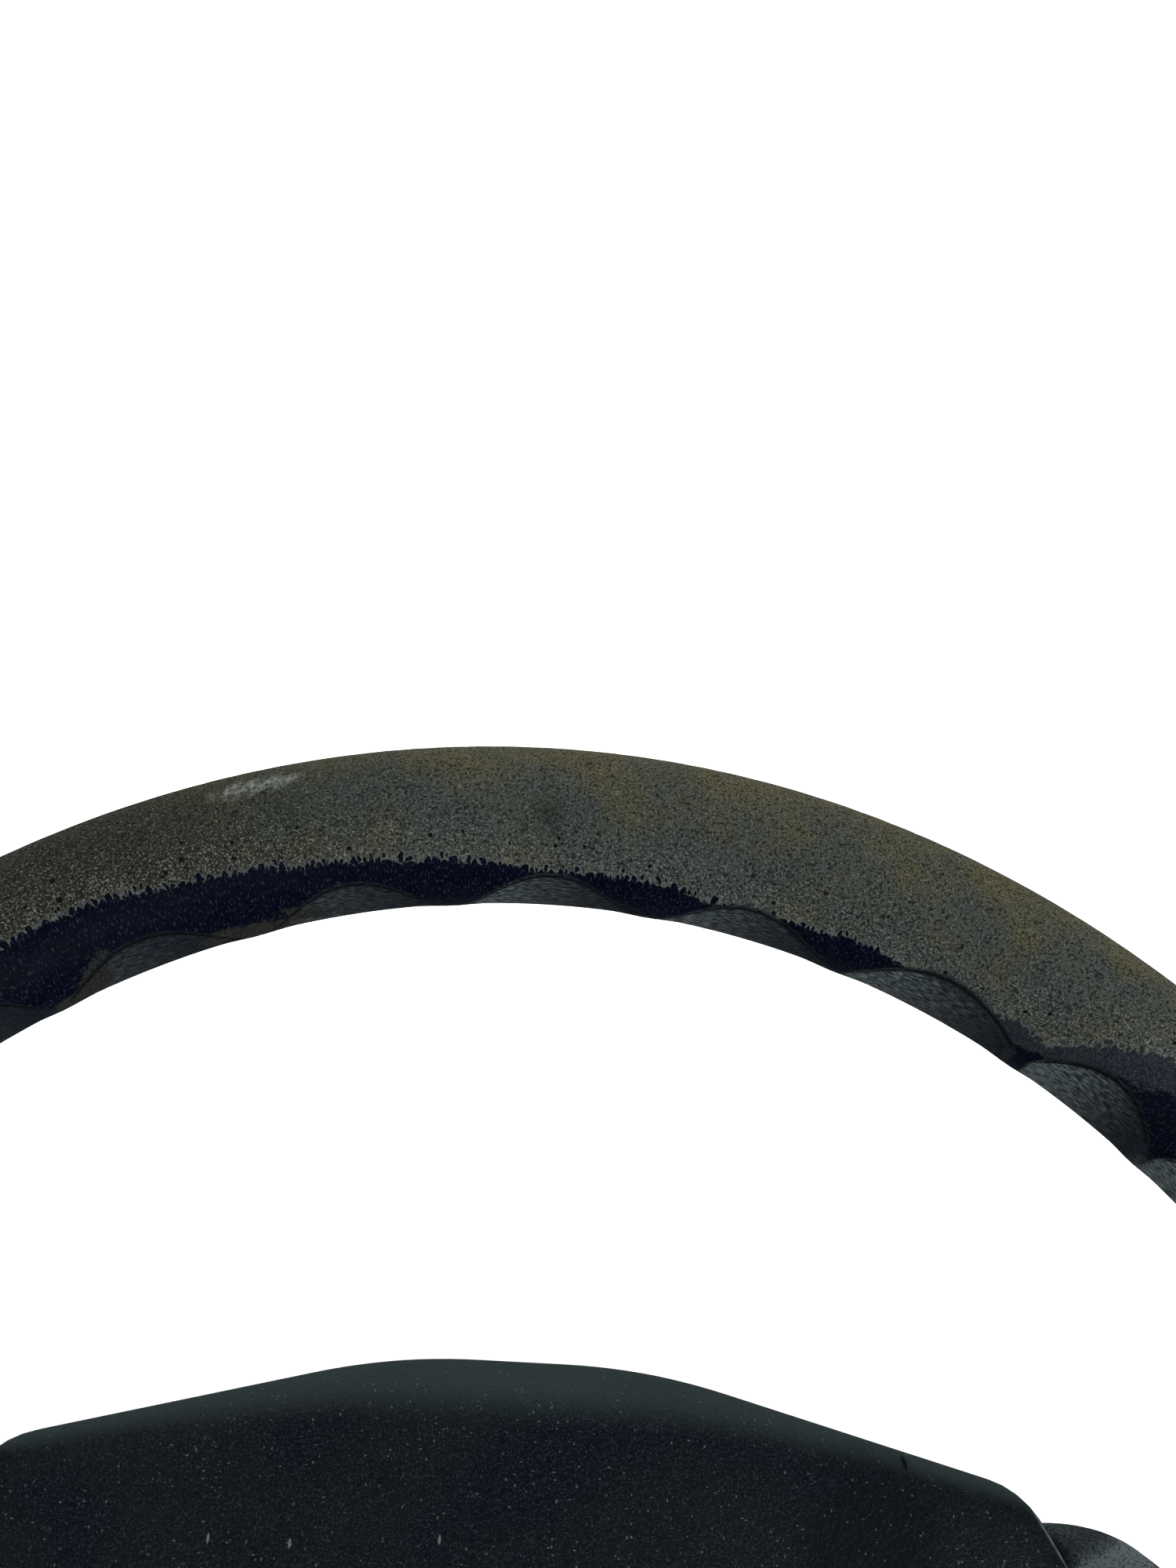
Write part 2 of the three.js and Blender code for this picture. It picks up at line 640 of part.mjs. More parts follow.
// ---- horn contacts ----
const CONTACT_RADIUS = 3;
const RIVET_RADIUS = 2; // the stem of a fixed contact
const MOVING_CONTACT_TOP_Z = CONTACT_PLATE_BOTTOM_Z - CLEARANCE;
const MOVING_CONTACT_BOTTOM_Z = MOVING_CONTACT_TOP_Z - 0.8;
const FIXED_CONTACT_TOP_Z = MOVING_CONTACT_BOTTOM_Z - HORN_TRAVEL - 0.1;
const INSULATOR_RADIUS = 6.5;
const INSULATOR_BOTTOM_Z = PLATE_TOP_Z + CLEARANCE;
const INSULATOR_TOP_Z = INSULATOR_BOTTOM_Z + 1.5;
const TERMINAL_BOTTOM_Z = INSULATOR_TOP_Z + CLEARANCE;
const TERMINAL_TOP_Z = TERMINAL_BOTTOM_Z + 0.8;
const TERMINAL_EYE_RADIUS = 5;
const TAB_HALF_WIDTH = 3.15;
const TAB_LENGTH = 16;
const TERMINAL_AT = 0; // the contact that the horn lead's tab is riveted under

function fixedContact(holdsTerminal) {
  const collarBottom = (holdsTerminal ? TERMINAL_TOP_Z : TERMINAL_BOTTOM_Z) + CLEARANCE;
  return turned(
    [
      [0, TERMINAL_BOTTOM_Z],
      [RIVET_RADIUS, TERMINAL_BOTTOM_Z],
      [RIVET_RADIUS, collarBottom],
      [CONTACT_RADIUS, collarBottom],
      [CONTACT_RADIUS, FIXED_CONTACT_TOP_Z],
      [0, FIXED_CONTACT_TOP_Z],
    ],
    12,
  );
}

// A round eye with a straight tab towards +X for the horn lead.
function terminal() {
  const shape = new THREE.Shape();
  const neckAngle = Math.asin(TAB_HALF_WIDTH / TERMINAL_EYE_RADIUS);
  shape.absarc(0, 0, TERMINAL_EYE_RADIUS, neckAngle, 2 * Math.PI - neckAngle, false);
  shape.lineTo(TAB_LENGTH, -TAB_HALF_WIDTH);
  shape.lineTo(TAB_LENGTH, TAB_HALF_WIDTH);
  shape.closePath();
  circleHole(shape, 0, 0, RIVET_RADIUS + CLEARANCE);
  return slab(shape, TERMINAL_BOTTOM_Z, TERMINAL_TOP_Z, 5);
}

// ---- the screws that hold the rear shroud up to the tray ----
const SHROUD_SCREW_HEAD_RADIUS = 4.2;
const SHROUD_SCREW_HEAD_HEIGHT = 2.6;

function shroudScrew() {
  const headTop = TRAY_BOTTOM_Z - CLEARANCE - SHROUD_WALL - CLEARANCE;
  const headBottom = headTop - SHROUD_SCREW_HEAD_HEIGHT;
  return turned(
    [
      [0, headBottom],
      [SHROUD_SCREW_HEAD_RADIUS - 1.2, headBottom],
      [SHROUD_SCREW_HEAD_RADIUS, headTop - 1.2],
      [SHROUD_SCREW_HEAD_RADIUS, headTop],
      [SHROUD_SCREW_RADIUS, headTop],
      [SHROUD_SCREW_RADIUS, TRAY_TOP_Z - 3],
      [0, TRAY_TOP_Z - 2],
    ],
    12,
  );
}

// ---- assembly ----
add("rim_moulding", toGeometry(moulding()), gripFoam);
add("rim_core_rod", rodRing(CORE_RADIUS), blackSteel);
for (const spoke of SPOKES) {
  add(`spoke_bar_${spoke.name}`, loft(placed(barSkin(spoke.bar), spoke)), blackSteel);
}
add("hub_plate", hubPlate(), blackSteel);
add("hub_boss", toGeometry(hubBoss()), zincSteel);
add("hub_washer", tube(WASHER_RADIUS, STUD_RADIUS + CLEARANCE, WASHER_BOTTOM_Z, WASHER_TOP_Z), zincSteel);
add("hub_nut", nut(), zincSteel);
add("cancel_cam_carrier", toGeometry(carrier()), nylon);
add("horn_slip_ring", tube(...SLIP_RING_RADII, SLIP_RING_BOTTOM_Z, SLIP_RING_TOP_Z), brass);
add("rear_shroud", toGeometry(shroud()), blackPlastic);

add("pad_cover", toGeometry(padCover()), padVinyl);
add("pad_backing_plate", backingPlate(), blackSteel);
add("horn_contact_plate", contactPlate(), zincSteel);

HORN_SCREWS.forEach(([x, y], i) => {
  add(`pad_bush_${i + 1}`, bush().translate(x, y, 0), nylon);
  add(`pad_spring_${i + 1}`, spring().translate(x, y, 0), springSteel);
  add(`pad_shoulder_screw_${i + 1}`, shoulderScrew().translate(x, y, 0), zincSteel);
});

SHROUD_SCREWS.forEach(([x, y], i) => {
  add(`shroud_screw_${i + 1}`, shroudScrew().translate(x, y, 0), zincSteel);
});

CONTACT_POINTS.forEach(([x, y], i) => {
  const moving = disc(CONTACT_RADIUS, MOVING_CONTACT_BOTTOM_Z, MOVING_CONTACT_TOP_Z, 12);
  const insulator = disc(INSULATOR_RADIUS, INSULATOR_BOTTOM_Z, INSULATOR_TOP_Z, 14);
  add(`fixed_contact_${i + 1}`, fixedContact(i === TERMINAL_AT).translate(x, y, 0), brass);
  add(`moving_contact_${i + 1}`, moving.translate(x, y, 0), brass);
  add(`contact_insulator_${i + 1}`, insulator.translate(x, y, 0), nylon);
  if (i === TERMINAL_AT) add("horn_terminal", terminal().translate(x, y, 0), brass);
});

export default group;
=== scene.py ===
# Looks of a worn four-spoke car steering wheel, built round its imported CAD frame.
# Shapes are worked out in millimetres on the CAD frame's axes, and every mesh is written in metres.
import math

import bmesh
import bpy
import numpy as np
from mathutils import Matrix, Vector


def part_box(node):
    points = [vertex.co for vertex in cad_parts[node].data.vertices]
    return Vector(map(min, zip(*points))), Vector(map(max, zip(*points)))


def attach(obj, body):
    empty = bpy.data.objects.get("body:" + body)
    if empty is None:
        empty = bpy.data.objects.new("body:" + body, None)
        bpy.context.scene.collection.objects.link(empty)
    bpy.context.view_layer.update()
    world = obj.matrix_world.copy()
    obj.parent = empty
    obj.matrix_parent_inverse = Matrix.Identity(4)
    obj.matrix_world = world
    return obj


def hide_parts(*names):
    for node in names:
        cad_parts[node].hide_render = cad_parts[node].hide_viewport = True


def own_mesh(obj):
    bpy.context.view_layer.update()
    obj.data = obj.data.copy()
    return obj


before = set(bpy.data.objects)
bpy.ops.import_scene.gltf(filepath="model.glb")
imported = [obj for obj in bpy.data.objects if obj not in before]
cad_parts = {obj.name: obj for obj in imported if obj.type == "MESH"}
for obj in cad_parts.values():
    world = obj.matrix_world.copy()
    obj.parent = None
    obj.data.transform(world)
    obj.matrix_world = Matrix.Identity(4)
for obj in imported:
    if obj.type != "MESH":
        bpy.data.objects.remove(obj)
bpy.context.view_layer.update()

MM = 0.001


def box_mm(node):
    low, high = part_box(node)
    return np.array(low) / MM, np.array(high) / MM


def centre(node):
    low, high = box_mm(node)
    return (low + high) / 2


# ---- sizes, from the frame ----
moulding_low, moulding_high = box_mm("rim_moulding")
rod_low, rod_high = box_mm("rim_core_rod")
pad_low, pad_high = box_mm("pad_cover")
backing_low, backing_high = box_mm("pad_backing_plate")
plate_low, plate_high = box_mm("hub_plate")
SHROUD_TOP = box_mm("rear_shroud")[1][2]

RIM_Z = (rod_low[2] + rod_high[2]) / 2
GRIP_RADIUS = moulding_high[2] - RIM_Z
RIM_RADIUS = moulding_high[1] - GRIP_RADIUS
ROD_RADIUS = rod_high[0] - RIM_RADIUS
TRAY_BOTTOM = moulding_low[2]
TRAY_TOP = TRAY_BOTTOM + 9.3
TRAY_INSET = 7
POCKET_GAP = 2.2
OPENING_HALF = plate_high[:2] + 2.5
SHROUD_EDGE_RADIUS = 52
SHROUD_WALL = 2.5
PAD_WALL = 5.5
HORN_SCREW_NODES = [f"pad_shoulder_screw_{i}" for i in (1, 2, 3, 4)]
SHROUD_SCREW_NODES = [f"shroud_screw_{i}" for i in (1, 2, 3, 4)]

# The pad's outline as [x, y, trim] corners on the right, each rounded off from `trim` before to `trim` after.
PAD_CORNERS = [(22, 80.5, 14), (86.8, 64.4, 6), (96, 49.7, 7), (102, 22, 14), (93, -50, 14), (68, -78, 12)]

# Ridges between the finger scallops, as angles round the wheel, in one run for each gap between spokes.
SCALLOP_RIDGES = [
    (18.5, 28.5, 38.5, 48, 57.5, 70.5, 83.5, 96.5, 109.5, 122.5, 132, 141.5, 151.5, 161.5),
    (193.5, 206.5, 219.5, 232.5),
    (257, 270, 283),
    (307.5, 320.5, 333.5, 346.5),
]

# Sections across a spoke that points along +X: x, low y, high y, bottom z, top z.
UPPER_SPOKE = [
    (58, -12, 44, 33.7, 46),
    (84, -14, 57, 33.7, 48),
    (96, -15, 59.2, 34.2, 48.6),
    (104, -16, 58.2, 35.6, 49.6),
    (109, -17, 57.4, 36.9, 50.5),
    (115, -18, 50, 38.7, 52.1),
    (128, -20, 43, 43.2, 57),
    (142, -22, 34.5, 48.4, 63.5),
    (154, -24.5, 28.5, 53, 70),
    (164, -27, 26.5, 57, 74),
    (170, -28, 27, 59, 74.5),
]
LOWER_SPOKE = [
    (58, -21, 21, 33.7, 46),
    (78, -20, 20, 33.7, 47.5),
    (90, -19.5, 19.5, 34.4, 48.4),
    (104, -18, 18, 36.6, 50),
    (120, -16.5, 16.5, 41, 55),
    (136, -16, 16, 46.6, 61.5),
    (150, -17, 17, 52, 68),
    (162, -19, 19, 57, 74),
    (170, -20, 20, 59, 74.5),
]
LOWER_SPOKE_TURN = math.radians(-65)
SPOKES = [
    ("upper_right", UPPER_SPOKE, 0, 1),
    ("upper_left", UPPER_SPOKE, 0, -1),
    ("lower_right", LOWER_SPOKE, LOWER_SPOKE_TURN, 1),
    ("lower_left", LOWER_SPOKE, LOWER_SPOKE_TURN, -1),
]

# ---- wear, as places on the grip: angle round the wheel, then angle round the section (0 out, 90 front) ----
BARE_UPPER = [
    (0, 96), (18, 100), (36, 104), (46, 92), (51, 95), (53, 106), (55, 120), (57, 141), (59, 135),
    (61.5, 144), (65, 141), (70, 139), (75, 143), (77.5, 146), (80, 145.5), (82, 139), (88, 138),
    (89.5, 141), (93, 135), (96, 131), (99, 127.5), (103, 125), (107, 120), (112, 115), (117, 107),
    (121, 104), (126, 112), (134, 118), (146, 108), (160, 100), (180, 94),
]
DULL_UPPER = [
    (0, 108), (30, 112), (46, 108), (49.7, 117), (53.7, 138), (56.3, 151), (58.7, 158), (62, 149),
    (66.6, 143), (69, 120), (180, 0),
]
BARE_LOWER = [(0, -20), (30, -34), (60, -48), (90, -52), (120, -46), (150, -30), (180, -18)]

# Spots: angle round the wheel, angle round the section, how far the spot leans along the rim for each mm
# towards the inside, half length and half width in mm.
SMUDGE = (90.5, 102, 0, 5, 6)
SCUFF = (107.4, 57, 0, 9, 1.6)
HALF_WORN_SPOTS = [
    (108.8, 184, -0.3, 5.5, 4.5),
    (106, 170, -0.9, 5.5, 2.5),
    (111.5, 172, 0.6, 4.5, 3),
    (119.5, 168, 0.35, 3, 7),
    (121.5, 186, 0.2, 4, 5),
    (126, 150, 0.2, 1.2, 4),
]


# ---- small tools ----
def smoothstep(low, high, value):
    share = np.clip((value - low) / (high - low), 0, 1)
    return share * share * (3 - 2 * share)


def smooth_min(a, b, reach):
    share = np.clip(0.5 + 0.5 * (b - a) / reach, 0, 1)
    return b + (a - b) * share - reach * share * (1 - share)


def smooth_max(a, b, reach):
    return -smooth_min(-a, -b, reach)


def add_object(name, data):
    thing = bpy.data.objects.new(name, data)
    bpy.context.scene.collection.objects.link(thing)
    return thing


def add_solid(name, points, faces):
    """A new closed object from points in mm."""
    mesh = bpy.data.meshes.new(name)
    mesh.from_pydata((np.asarray(points) * MM).tolist(), [], [list(map(int, face)) for face in faces])
    bm = bmesh.new()
    bm.from_mesh(mesh)
    bmesh.ops.recalc_face_normals(bm, faces=bm.faces)
    bm.to_mesh(mesh)
    bm.free()
    return add_object(name, mesh)


def mesh_piece(name, points, faces, body, slot, node, sharp=40):
    """A solid that rides on a body, stands for a CAD node, and is made of its slot's material."""
    piece = add_solid(name, points, faces)
    piece.data.materials.append(MATERIALS[slot])
    settle_shading(piece.data, sharp)
    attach(piece, body)
    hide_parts(node)
    return piece


def settle_shading(mesh, sharp=40):
    mesh.shade_smooth()
    mesh.set_sharp_from_angle(angle=math.radians(sharp))


def apply_modifiers(piece, sharp=40):
    evaluated = piece.evaluated_get(bpy.context.evaluated_depsgraph_get())
    mesh = bpy.data.meshes.new_from_object(evaluated)
    piece.modifiers.clear()
    piece.data = mesh
    settle_shading(mesh, sharp)


def bevel_edges(piece, width):
    modifier = piece.modifiers.new("bevel", "BEVEL")
    modifier.width = width * MM
    modifier.segments = 2
    modifier.limit_method = "ANGLE"
    modifier.angle_limit = math.radians(40)
    apply_modifiers(piece)


def boolean(piece, tools, operation="DIFFERENCE", sharp=40):
    for tool in tools:
        modifier = piece.modifiers.new("cut", "BOOLEAN")
        modifier.operation = operation
        modifier.solver = "MANIFOLD"
        modifier.object = tool
    apply_modifiers(piece, sharp)
    for tool in tools:
        bpy.data.objects.remove(tool)


def grid_faces(rows, columns, wrap_rows=False, wrap_columns=True):
    r = np.arange(rows if wrap_rows else rows - 1)[:, None]
    c = np.arange(columns if wrap_columns else columns - 1)[None, :]
    next_r = (r + 1) % rows
    next_c = (c + 1) % columns
    corners = [r * columns + c, r * columns + next_c, next_r * columns + next_c, next_r * columns + c]
    return np.stack(np.broadcast_arrays(*corners), -1).reshape(-1, 4)


def circle(radius, sides, x=0, y=0):
    turn = np.arange(sides) * 2 * math.pi / sides
    return np.stack([x + radius * np.cos(turn), y + radius * np.sin(turn)], -1)


def prism(outline, bottom, top, top_scale=1.0):
    """Points and faces of an upright prism over an outline, tapered about the outline's middle."""
    outline = np.asarray(outline, float)
    middle = outline.mean(0)
    upper = middle + (outline - middle) * top_scale
    count = len(outline)
    points = [(x, y, bottom) for x, y in outline] + [(x, y, top) for x, y in upper]
    faces = [[i, (i + 1) % count, count + (i + 1) % count, count + i] for i in range(count)]
    faces += [list(range(count))[::-1], list(range(count, 2 * count))]
    return points, faces


def turned_ring(rings, segments):
    """Points and faces of a closed ring of (radius, z) rows. A radius may change round the turn."""
    turn = np.arange(segments) * 2 * math.pi / segments
    rows = [np.stack([r * np.cos(turn), r * np.sin(turn), np.full(segments, z)], -1) for r, z in rings]
    return np.concatenate(rows), grid_faces(len(rows), segments, wrap_rows=True)


def lathe(profile, segments, x=0, y=0):
    """Points and faces of a profile of (radius, z) turned about the vertical line through x, y."""
    turned = []
    for radius, z in profile:
        turned += [(*p, z) for p in circle(max(radius, 1e-6), segments, x, y)]
    closed = profile[0][0] > 0
    faces = [list(f) for f in grid_faces(len(profile), segments, wrap_rows=closed)]
    return turned, faces


def turned_piece(name, profile, at, body, slot, node, segments=48, bevel=0.3):
    """A bevelled turned piece. The profile closes on itself, or starts and ends on the axis."""
    points, faces = lathe(profile, segments, *at)
    piece = mesh_piece(name, points, faces, body, slot, node)
    bm = bmesh.new()
    bm.from_mesh(piece.data)
    bmesh.ops.remove_doubles(bm, verts=bm.verts, dist=2e-8)
    bmesh.ops.dissolve_degenerate(bm, edges=bm.edges, dist=1e-9)
    bmesh.ops.recalc_face_normals(bm, faces=bm.faces)
    bm.to_mesh(piece.data)
    bm.free()
    if bevel:
        bevel_edges(piece, bevel)
    return piece


def plate_piece(name, outline, holes, bottom, top, body, slot, node, bevel):
    """A flat plate with holes, its edges eased."""
    bm = bmesh.new()
    edges = []
    for loop in [outline, *holes]:
        verts = [bm.verts.new((x * MM, y * MM, bottom * MM)) for x, y in loop]
        edges += [bm.edges.new((verts[i - 1], verts[i])) for i in range(len(verts))]
    bmesh.ops.triangle_fill(bm, use_beauty=True, use_dissolve=False, edges=edges)
    grown = bmesh.ops.extrude_face_region(bm, geom=bm.faces[:])
    raised = [v for v in grown["geom"] if isinstance(v, bmesh.types.BMVert)]
    bmesh.ops.translate(bm, verts=raised, vec=(0, 0, (top - bottom) * MM))
    bmesh.ops.recalc_face_normals(bm, faces=bm.faces)
    points = [tuple(v.co / MM) for v in bm.verts]
    bm.verts.index_update()
    faces = [[v.index for v in f.verts] for f in bm.faces]
    bm.free()
    bevel_edges(mesh_piece(name, points, faces, body, slot, node), bevel)


def rounded_path(corners, steps=8):
    """Points along a closed outline whose (x, y, trim) corners are rounded by quadratic curves."""
    corners = np.array(corners, float)
    path = []
    for i, (x, y, trim) in enumerate(corners):
        corner = np.array([x, y])
        before, after = corners[i - 1, :2] - corner, corners[(i + 1) % len(corners), :2] - corner
        start = corner + before * trim / np.linalg.norm(before)
        end = corner + after * trim / np.linalg.norm(after)
        for t in np.linspace(0, 1, steps):
            path.append((1 - t) ** 2 * start + 2 * t * (1 - t) * corner + t * t * end)
    return np.array(path)


def evenly_spaced(path, count):
    """Points at equal steps along a closed path."""
    closed = np.vstack([path, path[:1]])
    lengths = np.concatenate([[0], np.cumsum(np.linalg.norm(np.diff(closed, axis=0), axis=1))])
    stations = np.arange(count) * lengths[-1] / count
    return np.stack([np.interp(stations, lengths, closed[:, i]) for i in range(2)], -1)


def mirrored(corners):
    return [*corners, *[(-x, y, trim) for x, y, trim in reversed(corners)]]


def rounded_rectangle(half_x, half_y, trim, steps=8):
    return rounded_path(mirrored([(half_x, half_y, trim), (half_x, -half_y, trim)]), steps)


pad_path = rounded_path(mirrored(PAD_CORNERS), 10)


def outline_at(distance, count=96):
    """The pad's outline moved outwards by a distance in mm, or inwards when it is negative."""
    points = evenly_spaced(pad_path, count)
    along = np.roll(points, -1, 0) - np.roll(points, 1, 0)
    outward = np.stack([along[:, 1], -along[:, 0]], -1)
    outward /= np.linalg.norm(outward, axis=1)[:, None]
    outward *= np.sign((outward * points).sum(1))[:, None]
    return points + outward * distance


# ---- materials ----
class Shader:
    """A Principled material whose nodes are added by short calls."""

    def __init__(self, name):
        self.material = bpy.data.materials.new(name)
        self.material.use_nodes = True
        self.tree = self.material.node_tree
        self.principled = self.tree.nodes["Principled BSDF"]
        place = self.tree.nodes.new("ShaderNodeTexCoord")
        self.place = self.stretched(1 / MM, 1 / MM, 1 / MM, place.outputs["Object"])

    def node(self, kind, inputs=None, output=0, **settings):
        node = self.tree.nodes.new(kind)
        for key, value in settings.items():
            setattr(node, key, value)
        for key, value in (inputs or {}).items():
            if isinstance(value, bpy.types.NodeSocket):
                self.tree.links.new(value, node.inputs[key])
            else:
                node.inputs[key].default_value = value
        return node.outputs[output]

    def math(self, operation, a, b=0.0, c=0.0):
        return self.node("ShaderNodeMath", {0: a, 1: b, 2: c}, operation=operation)

    def times(self, a, b):
        return self.math("MULTIPLY", a, b)

    def plus(self, a, b):
        return self.math("ADD", a, b)

    def minus(self, a, b):
        return self.math("SUBTRACT", a, b)

    def scaled(self, a, factor, offset):
        return self.math("MULTIPLY_ADD", a, factor, offset)

    def swing(self, noise, reach):
        """Noise that swings about 0, by half the reach each way."""
        return self.scaled(noise, reach, -reach / 2)

    def noise(self, size, detail=2.0, roughness=0.5, at=None):
        """Noise from 0 to 1 whose features are about `size` mm."""
        inputs = {"Vector": at or self.place, "Scale": 1 / size, "Detail": detail, "Roughness": roughness}
        return self.node("ShaderNodeTexNoise", inputs)

    def cells(self, size, feature="F1", at=None):
        inputs = {"Vector": at or self.place, "Scale": 1 / size}
        return self.node("ShaderNodeTexVoronoi", inputs, feature=feature)

    def ramp(self, value, low, high, to_low=0.0, to_high=1.0):
        inputs = {0: value, 1: low, 2: high, 3: to_low, 4: to_high}
        return self.node("ShaderNodeMapRange", inputs, interpolation_type="SMOOTHSTEP")

    def blend(self, share, a, b):
        return self.node("ShaderNodeMix", {0: share, 2: a, 3: b})

    def mix(self, share, a, b):
        """Colour a, or colour b where the share is 1. A plain colour is (red, green, blue)."""
        a, b = (c if isinstance(c, bpy.types.NodeSocket) else (*c, 1) for c in (a, b))
        return self.node("ShaderNodeMix", {0: share, 6: a, 7: b}, output=2, data_type="RGBA")

    def attribute(self, name):
        return self.node("ShaderNodeAttribute", output=2, attribute_name=name)

    def component(self, axis):
        return self.node("ShaderNodeSeparateXYZ", {0: self.place}, output=axis)

    def distance_to(self, x, y, point, stretch):
        """Distance in mm from a point, with what lies along y counted `stretch` times shorter."""
        dx = self.minus(x, point[0])
        dy = self.math("DIVIDE", self.minus(y, point[1]), stretch)
        return self.math("SQRT", self.plus(self.times(dx, dx), self.times(dy, dy)))

    def stretched(self, x, y, z, place=None):
        return self.node("ShaderNodeVectorMath", {0: place or self.place, 1: (x, y, z)}, operation="MULTIPLY")

    def bump(self, height, distance, strength):
        inputs = {"Strength": strength, "Distance": distance * MM, "Height": height}
        return self.node("ShaderNodeBump", inputs)

    def finish(self, colour, roughness, normal, constants):
        """The material, with the last dictionary's numbers set on the shader's own sockets."""
        for socket, value in (("Base Color", colour), ("Roughness", roughness), ("Normal", normal)):
            if isinstance(value, bpy.types.NodeSocket):
                self.tree.links.new(value, self.principled.inputs[socket])
            elif value is not None:
                self.principled.inputs[socket].default_value = value
        for socket, value in constants.items():
            self.principled.inputs[socket].default_value = value
        return self.material


TOP_ALONG = math.pi * RIM_RADIUS  # mm round the grip from the bottom, anticlockwise, to the top

# The grip's colours, as linear red, green and blue. A pair is what noise varies between.
SLATE_FOAM, OLIVE_FOAM, SHADED_FOAM = (0.033, 0.04, 0.038), (0.054, 0.051, 0.027), (0.011, 0.012, 0.009)
FOAM_SPECK, FOAM_HOLLOW, FOAM_PIT = (0.2, 0.21, 0.17), (0.005, 0.006, 0.005), (0.002, 0.0025, 0.002)
SMUDGED_FOAM, SCUFFED_FOAM = (0.009, 0.01, 0.007), (0.19, 0.21, 0.19)
GRAINED_SKIN = (0.002, 0.0035, 0.007), (0.085, 0.106, 0.11)
POLISHED_SKIN = (0.0002, 0.0009, 0.0046), (0.0007, 0.0018, 0.0068)
SLATE_SKIN = (0.007, 0.0105, 0.015), (0.03, 0.037, 0.041)
BROWN_SKIN = (0.006, 0.007, 0.0075), (0.03, 0.031, 0.026)
SKIN_FLECK, TORN_EDGE, CREASE_SHADE = (0.028, 0.034, 0.045), (0.11, 0.115, 0.11), (0.0008, 0.001, 0.002)


def grip_material():
    """Bare olive foam where hands have worn the skin away, polished navy skin beside it, leather grain
    elsewhere, and painted light and shade.
    """
    s = Shader("worn_grip_foam")
    along, across = s.attribute("along"), s.attribute("across")
    on_grip = s.node("ShaderNodeCombineXYZ", {0: along, 1: across})
    drawn_out = s.stretched(1, 0.32, 1, on_grip)

    # Ragged edges: the skin ends in rounded lobes, with cracks of bare foam running in between them.
    lobes = s.scaled(s.cells(1.4, "DISTANCE_TO_EDGE", at=s.stretched(1, 0.65, 1, on_grip)), -6.5, 1.5)
    teeth = s.swing(s.noise(0.9, 4.0, 0.72, at=drawn_out), 4)
    wander = s.swing(s.noise(8.0), 2.5)
    ragged = s.plus(s.plus(lobes, teeth), wander)
    bare_depth = s.plus(s.attribute("bare"), ragged)
    outside_scallop = s.minus(1.0, s.attribute("scallop"))
    bare = s.times(s.ramp(bare_depth, -0.2, 0.2), outside_scallop)
    patchy = s.swing(s.noise(2.6, 4.0, 0.65), 7)
    dull = s.ramp(s.plus(s.attribute("dull"), patchy), -0.4, 0.5)

    # The foam: mottled olive and slate, speckled, pitted.
    cloud = s.noise(13.0, 3.0, 0.6)
    toward_outside = s.ramp(across, 6.0, 28.0, 1.0, 0.0)
    hue = s.plus(s.times(toward_outside, 0.35), cloud)
    foam = s.mix(s.ramp(hue, 0.42, 0.85), SLATE_FOAM, OLIVE_FOAM)
    # Painted shade: the foam darkens past the top of the wheel, towards the left.
    lit = s.ramp(along, TOP_ALONG + 10, TOP_ALONG + 85, 1.0, 0.1)
    foam = s.mix(lit, SHADED_FOAM, foam)
    speckle = s.noise(0.36, 2.0, 0.75)
    near_edge = s.ramp(s.attribute("bare"), 0.0, 12.0, 1.0, 0.0)
    specks = s.times(s.ramp(speckle, 0.5, 0.68, 0, 0.75), s.ramp(near_edge, 0.0, 1.0, 0.55, 1.0))
    foam = s.mix(specks, foam, FOAM_SPECK)
    foam = s.mix(s.ramp(s.noise(0.5, 2.0, 0.6), 0.36, 0.52, 0.9, 0), foam, FOAM_HOLLOW)
    pit_field = s.plus(s.cells(3.0), s.times(s.noise(9.0), 0.24))
    pits = s.times(s.ramp(pit_field, 0.22, 0.26, 1, 0), s.ramp(near_edge, 0.1, 0.6, 0.4, 1.0))
    foam = s.mix(pits, foam, FOAM_PIT)
    foam = s.mix(s.ramp(s.attribute("smudge"), 0, 1, 0, 0.5), foam, SMUDGED_FOAM)
    scuff_grain = s.ramp(s.noise(0.9, 4.0, 0.7, at=on_grip), 0.4, 0.58, 0.1, 0.85)
    foam = s.mix(s.times(s.attribute("scuff"), scuff_grain), foam, SCUFFED_FOAM)

    # The skin: navy and polished near the worn edge and on the ridges, grained and greyer elsewhere.
    polished = s.ramp(s.attribute("polish"), 0.3, 0.7)
    lined = s.noise(0.55, 3.0, 0.65, at=s.stretched(0.3, 1.7, 1, on_grip))
    pebbled = s.scaled(s.noise(0.4, 3.0, 0.65), 0.5, 0.28)
    grain = s.blend(s.attribute("grip"), pebbled, lined)
    # The grain's pale share is scaled by painted light and shade: brighter at one end of each scallop, darker
    # on the left.
    wear_and_painted_light = s.times(s.ramp(grain, 0.44, 0.62, 0.1, 1.1), s.attribute("wear_and_painted_light"))
    grained = s.mix(wear_and_painted_light, *GRAINED_SKIN)
    navy = s.mix(s.ramp(s.noise(3.0), 0.3, 0.7), *POLISHED_SKIN)
    flecks = s.ramp(s.noise(0.32, at=drawn_out), 0.56, 0.7, 0, 0.6)
    navy = s.mix(flecks, navy, SKIN_FLECK)
    skin = s.mix(polished, grained, navy)
    slate, brown = (s.mix(s.ramp(speckle, 0.42, 0.7), *pair) for pair in (SLATE_SKIN, BROWN_SKIN))
    skin = s.mix(dull, skin, s.mix(s.ramp(along, TOP_ALONG - 75, TOP_ALONG + 25), slate, brown))
    colour = s.mix(bare, skin, foam)
    torn = s.times(bare, s.ramp(bare_depth, 0.4, 1.2, 0.4, 0))
    colour = s.mix(torn, colour, TORN_EDGE)
    # Painted shade: a dark line along the scallops' front crease.
    colour = s.mix(s.ramp(s.attribute("crease"), 0.2, 0.9, 0, 0.92), colour, CREASE_SHADE)

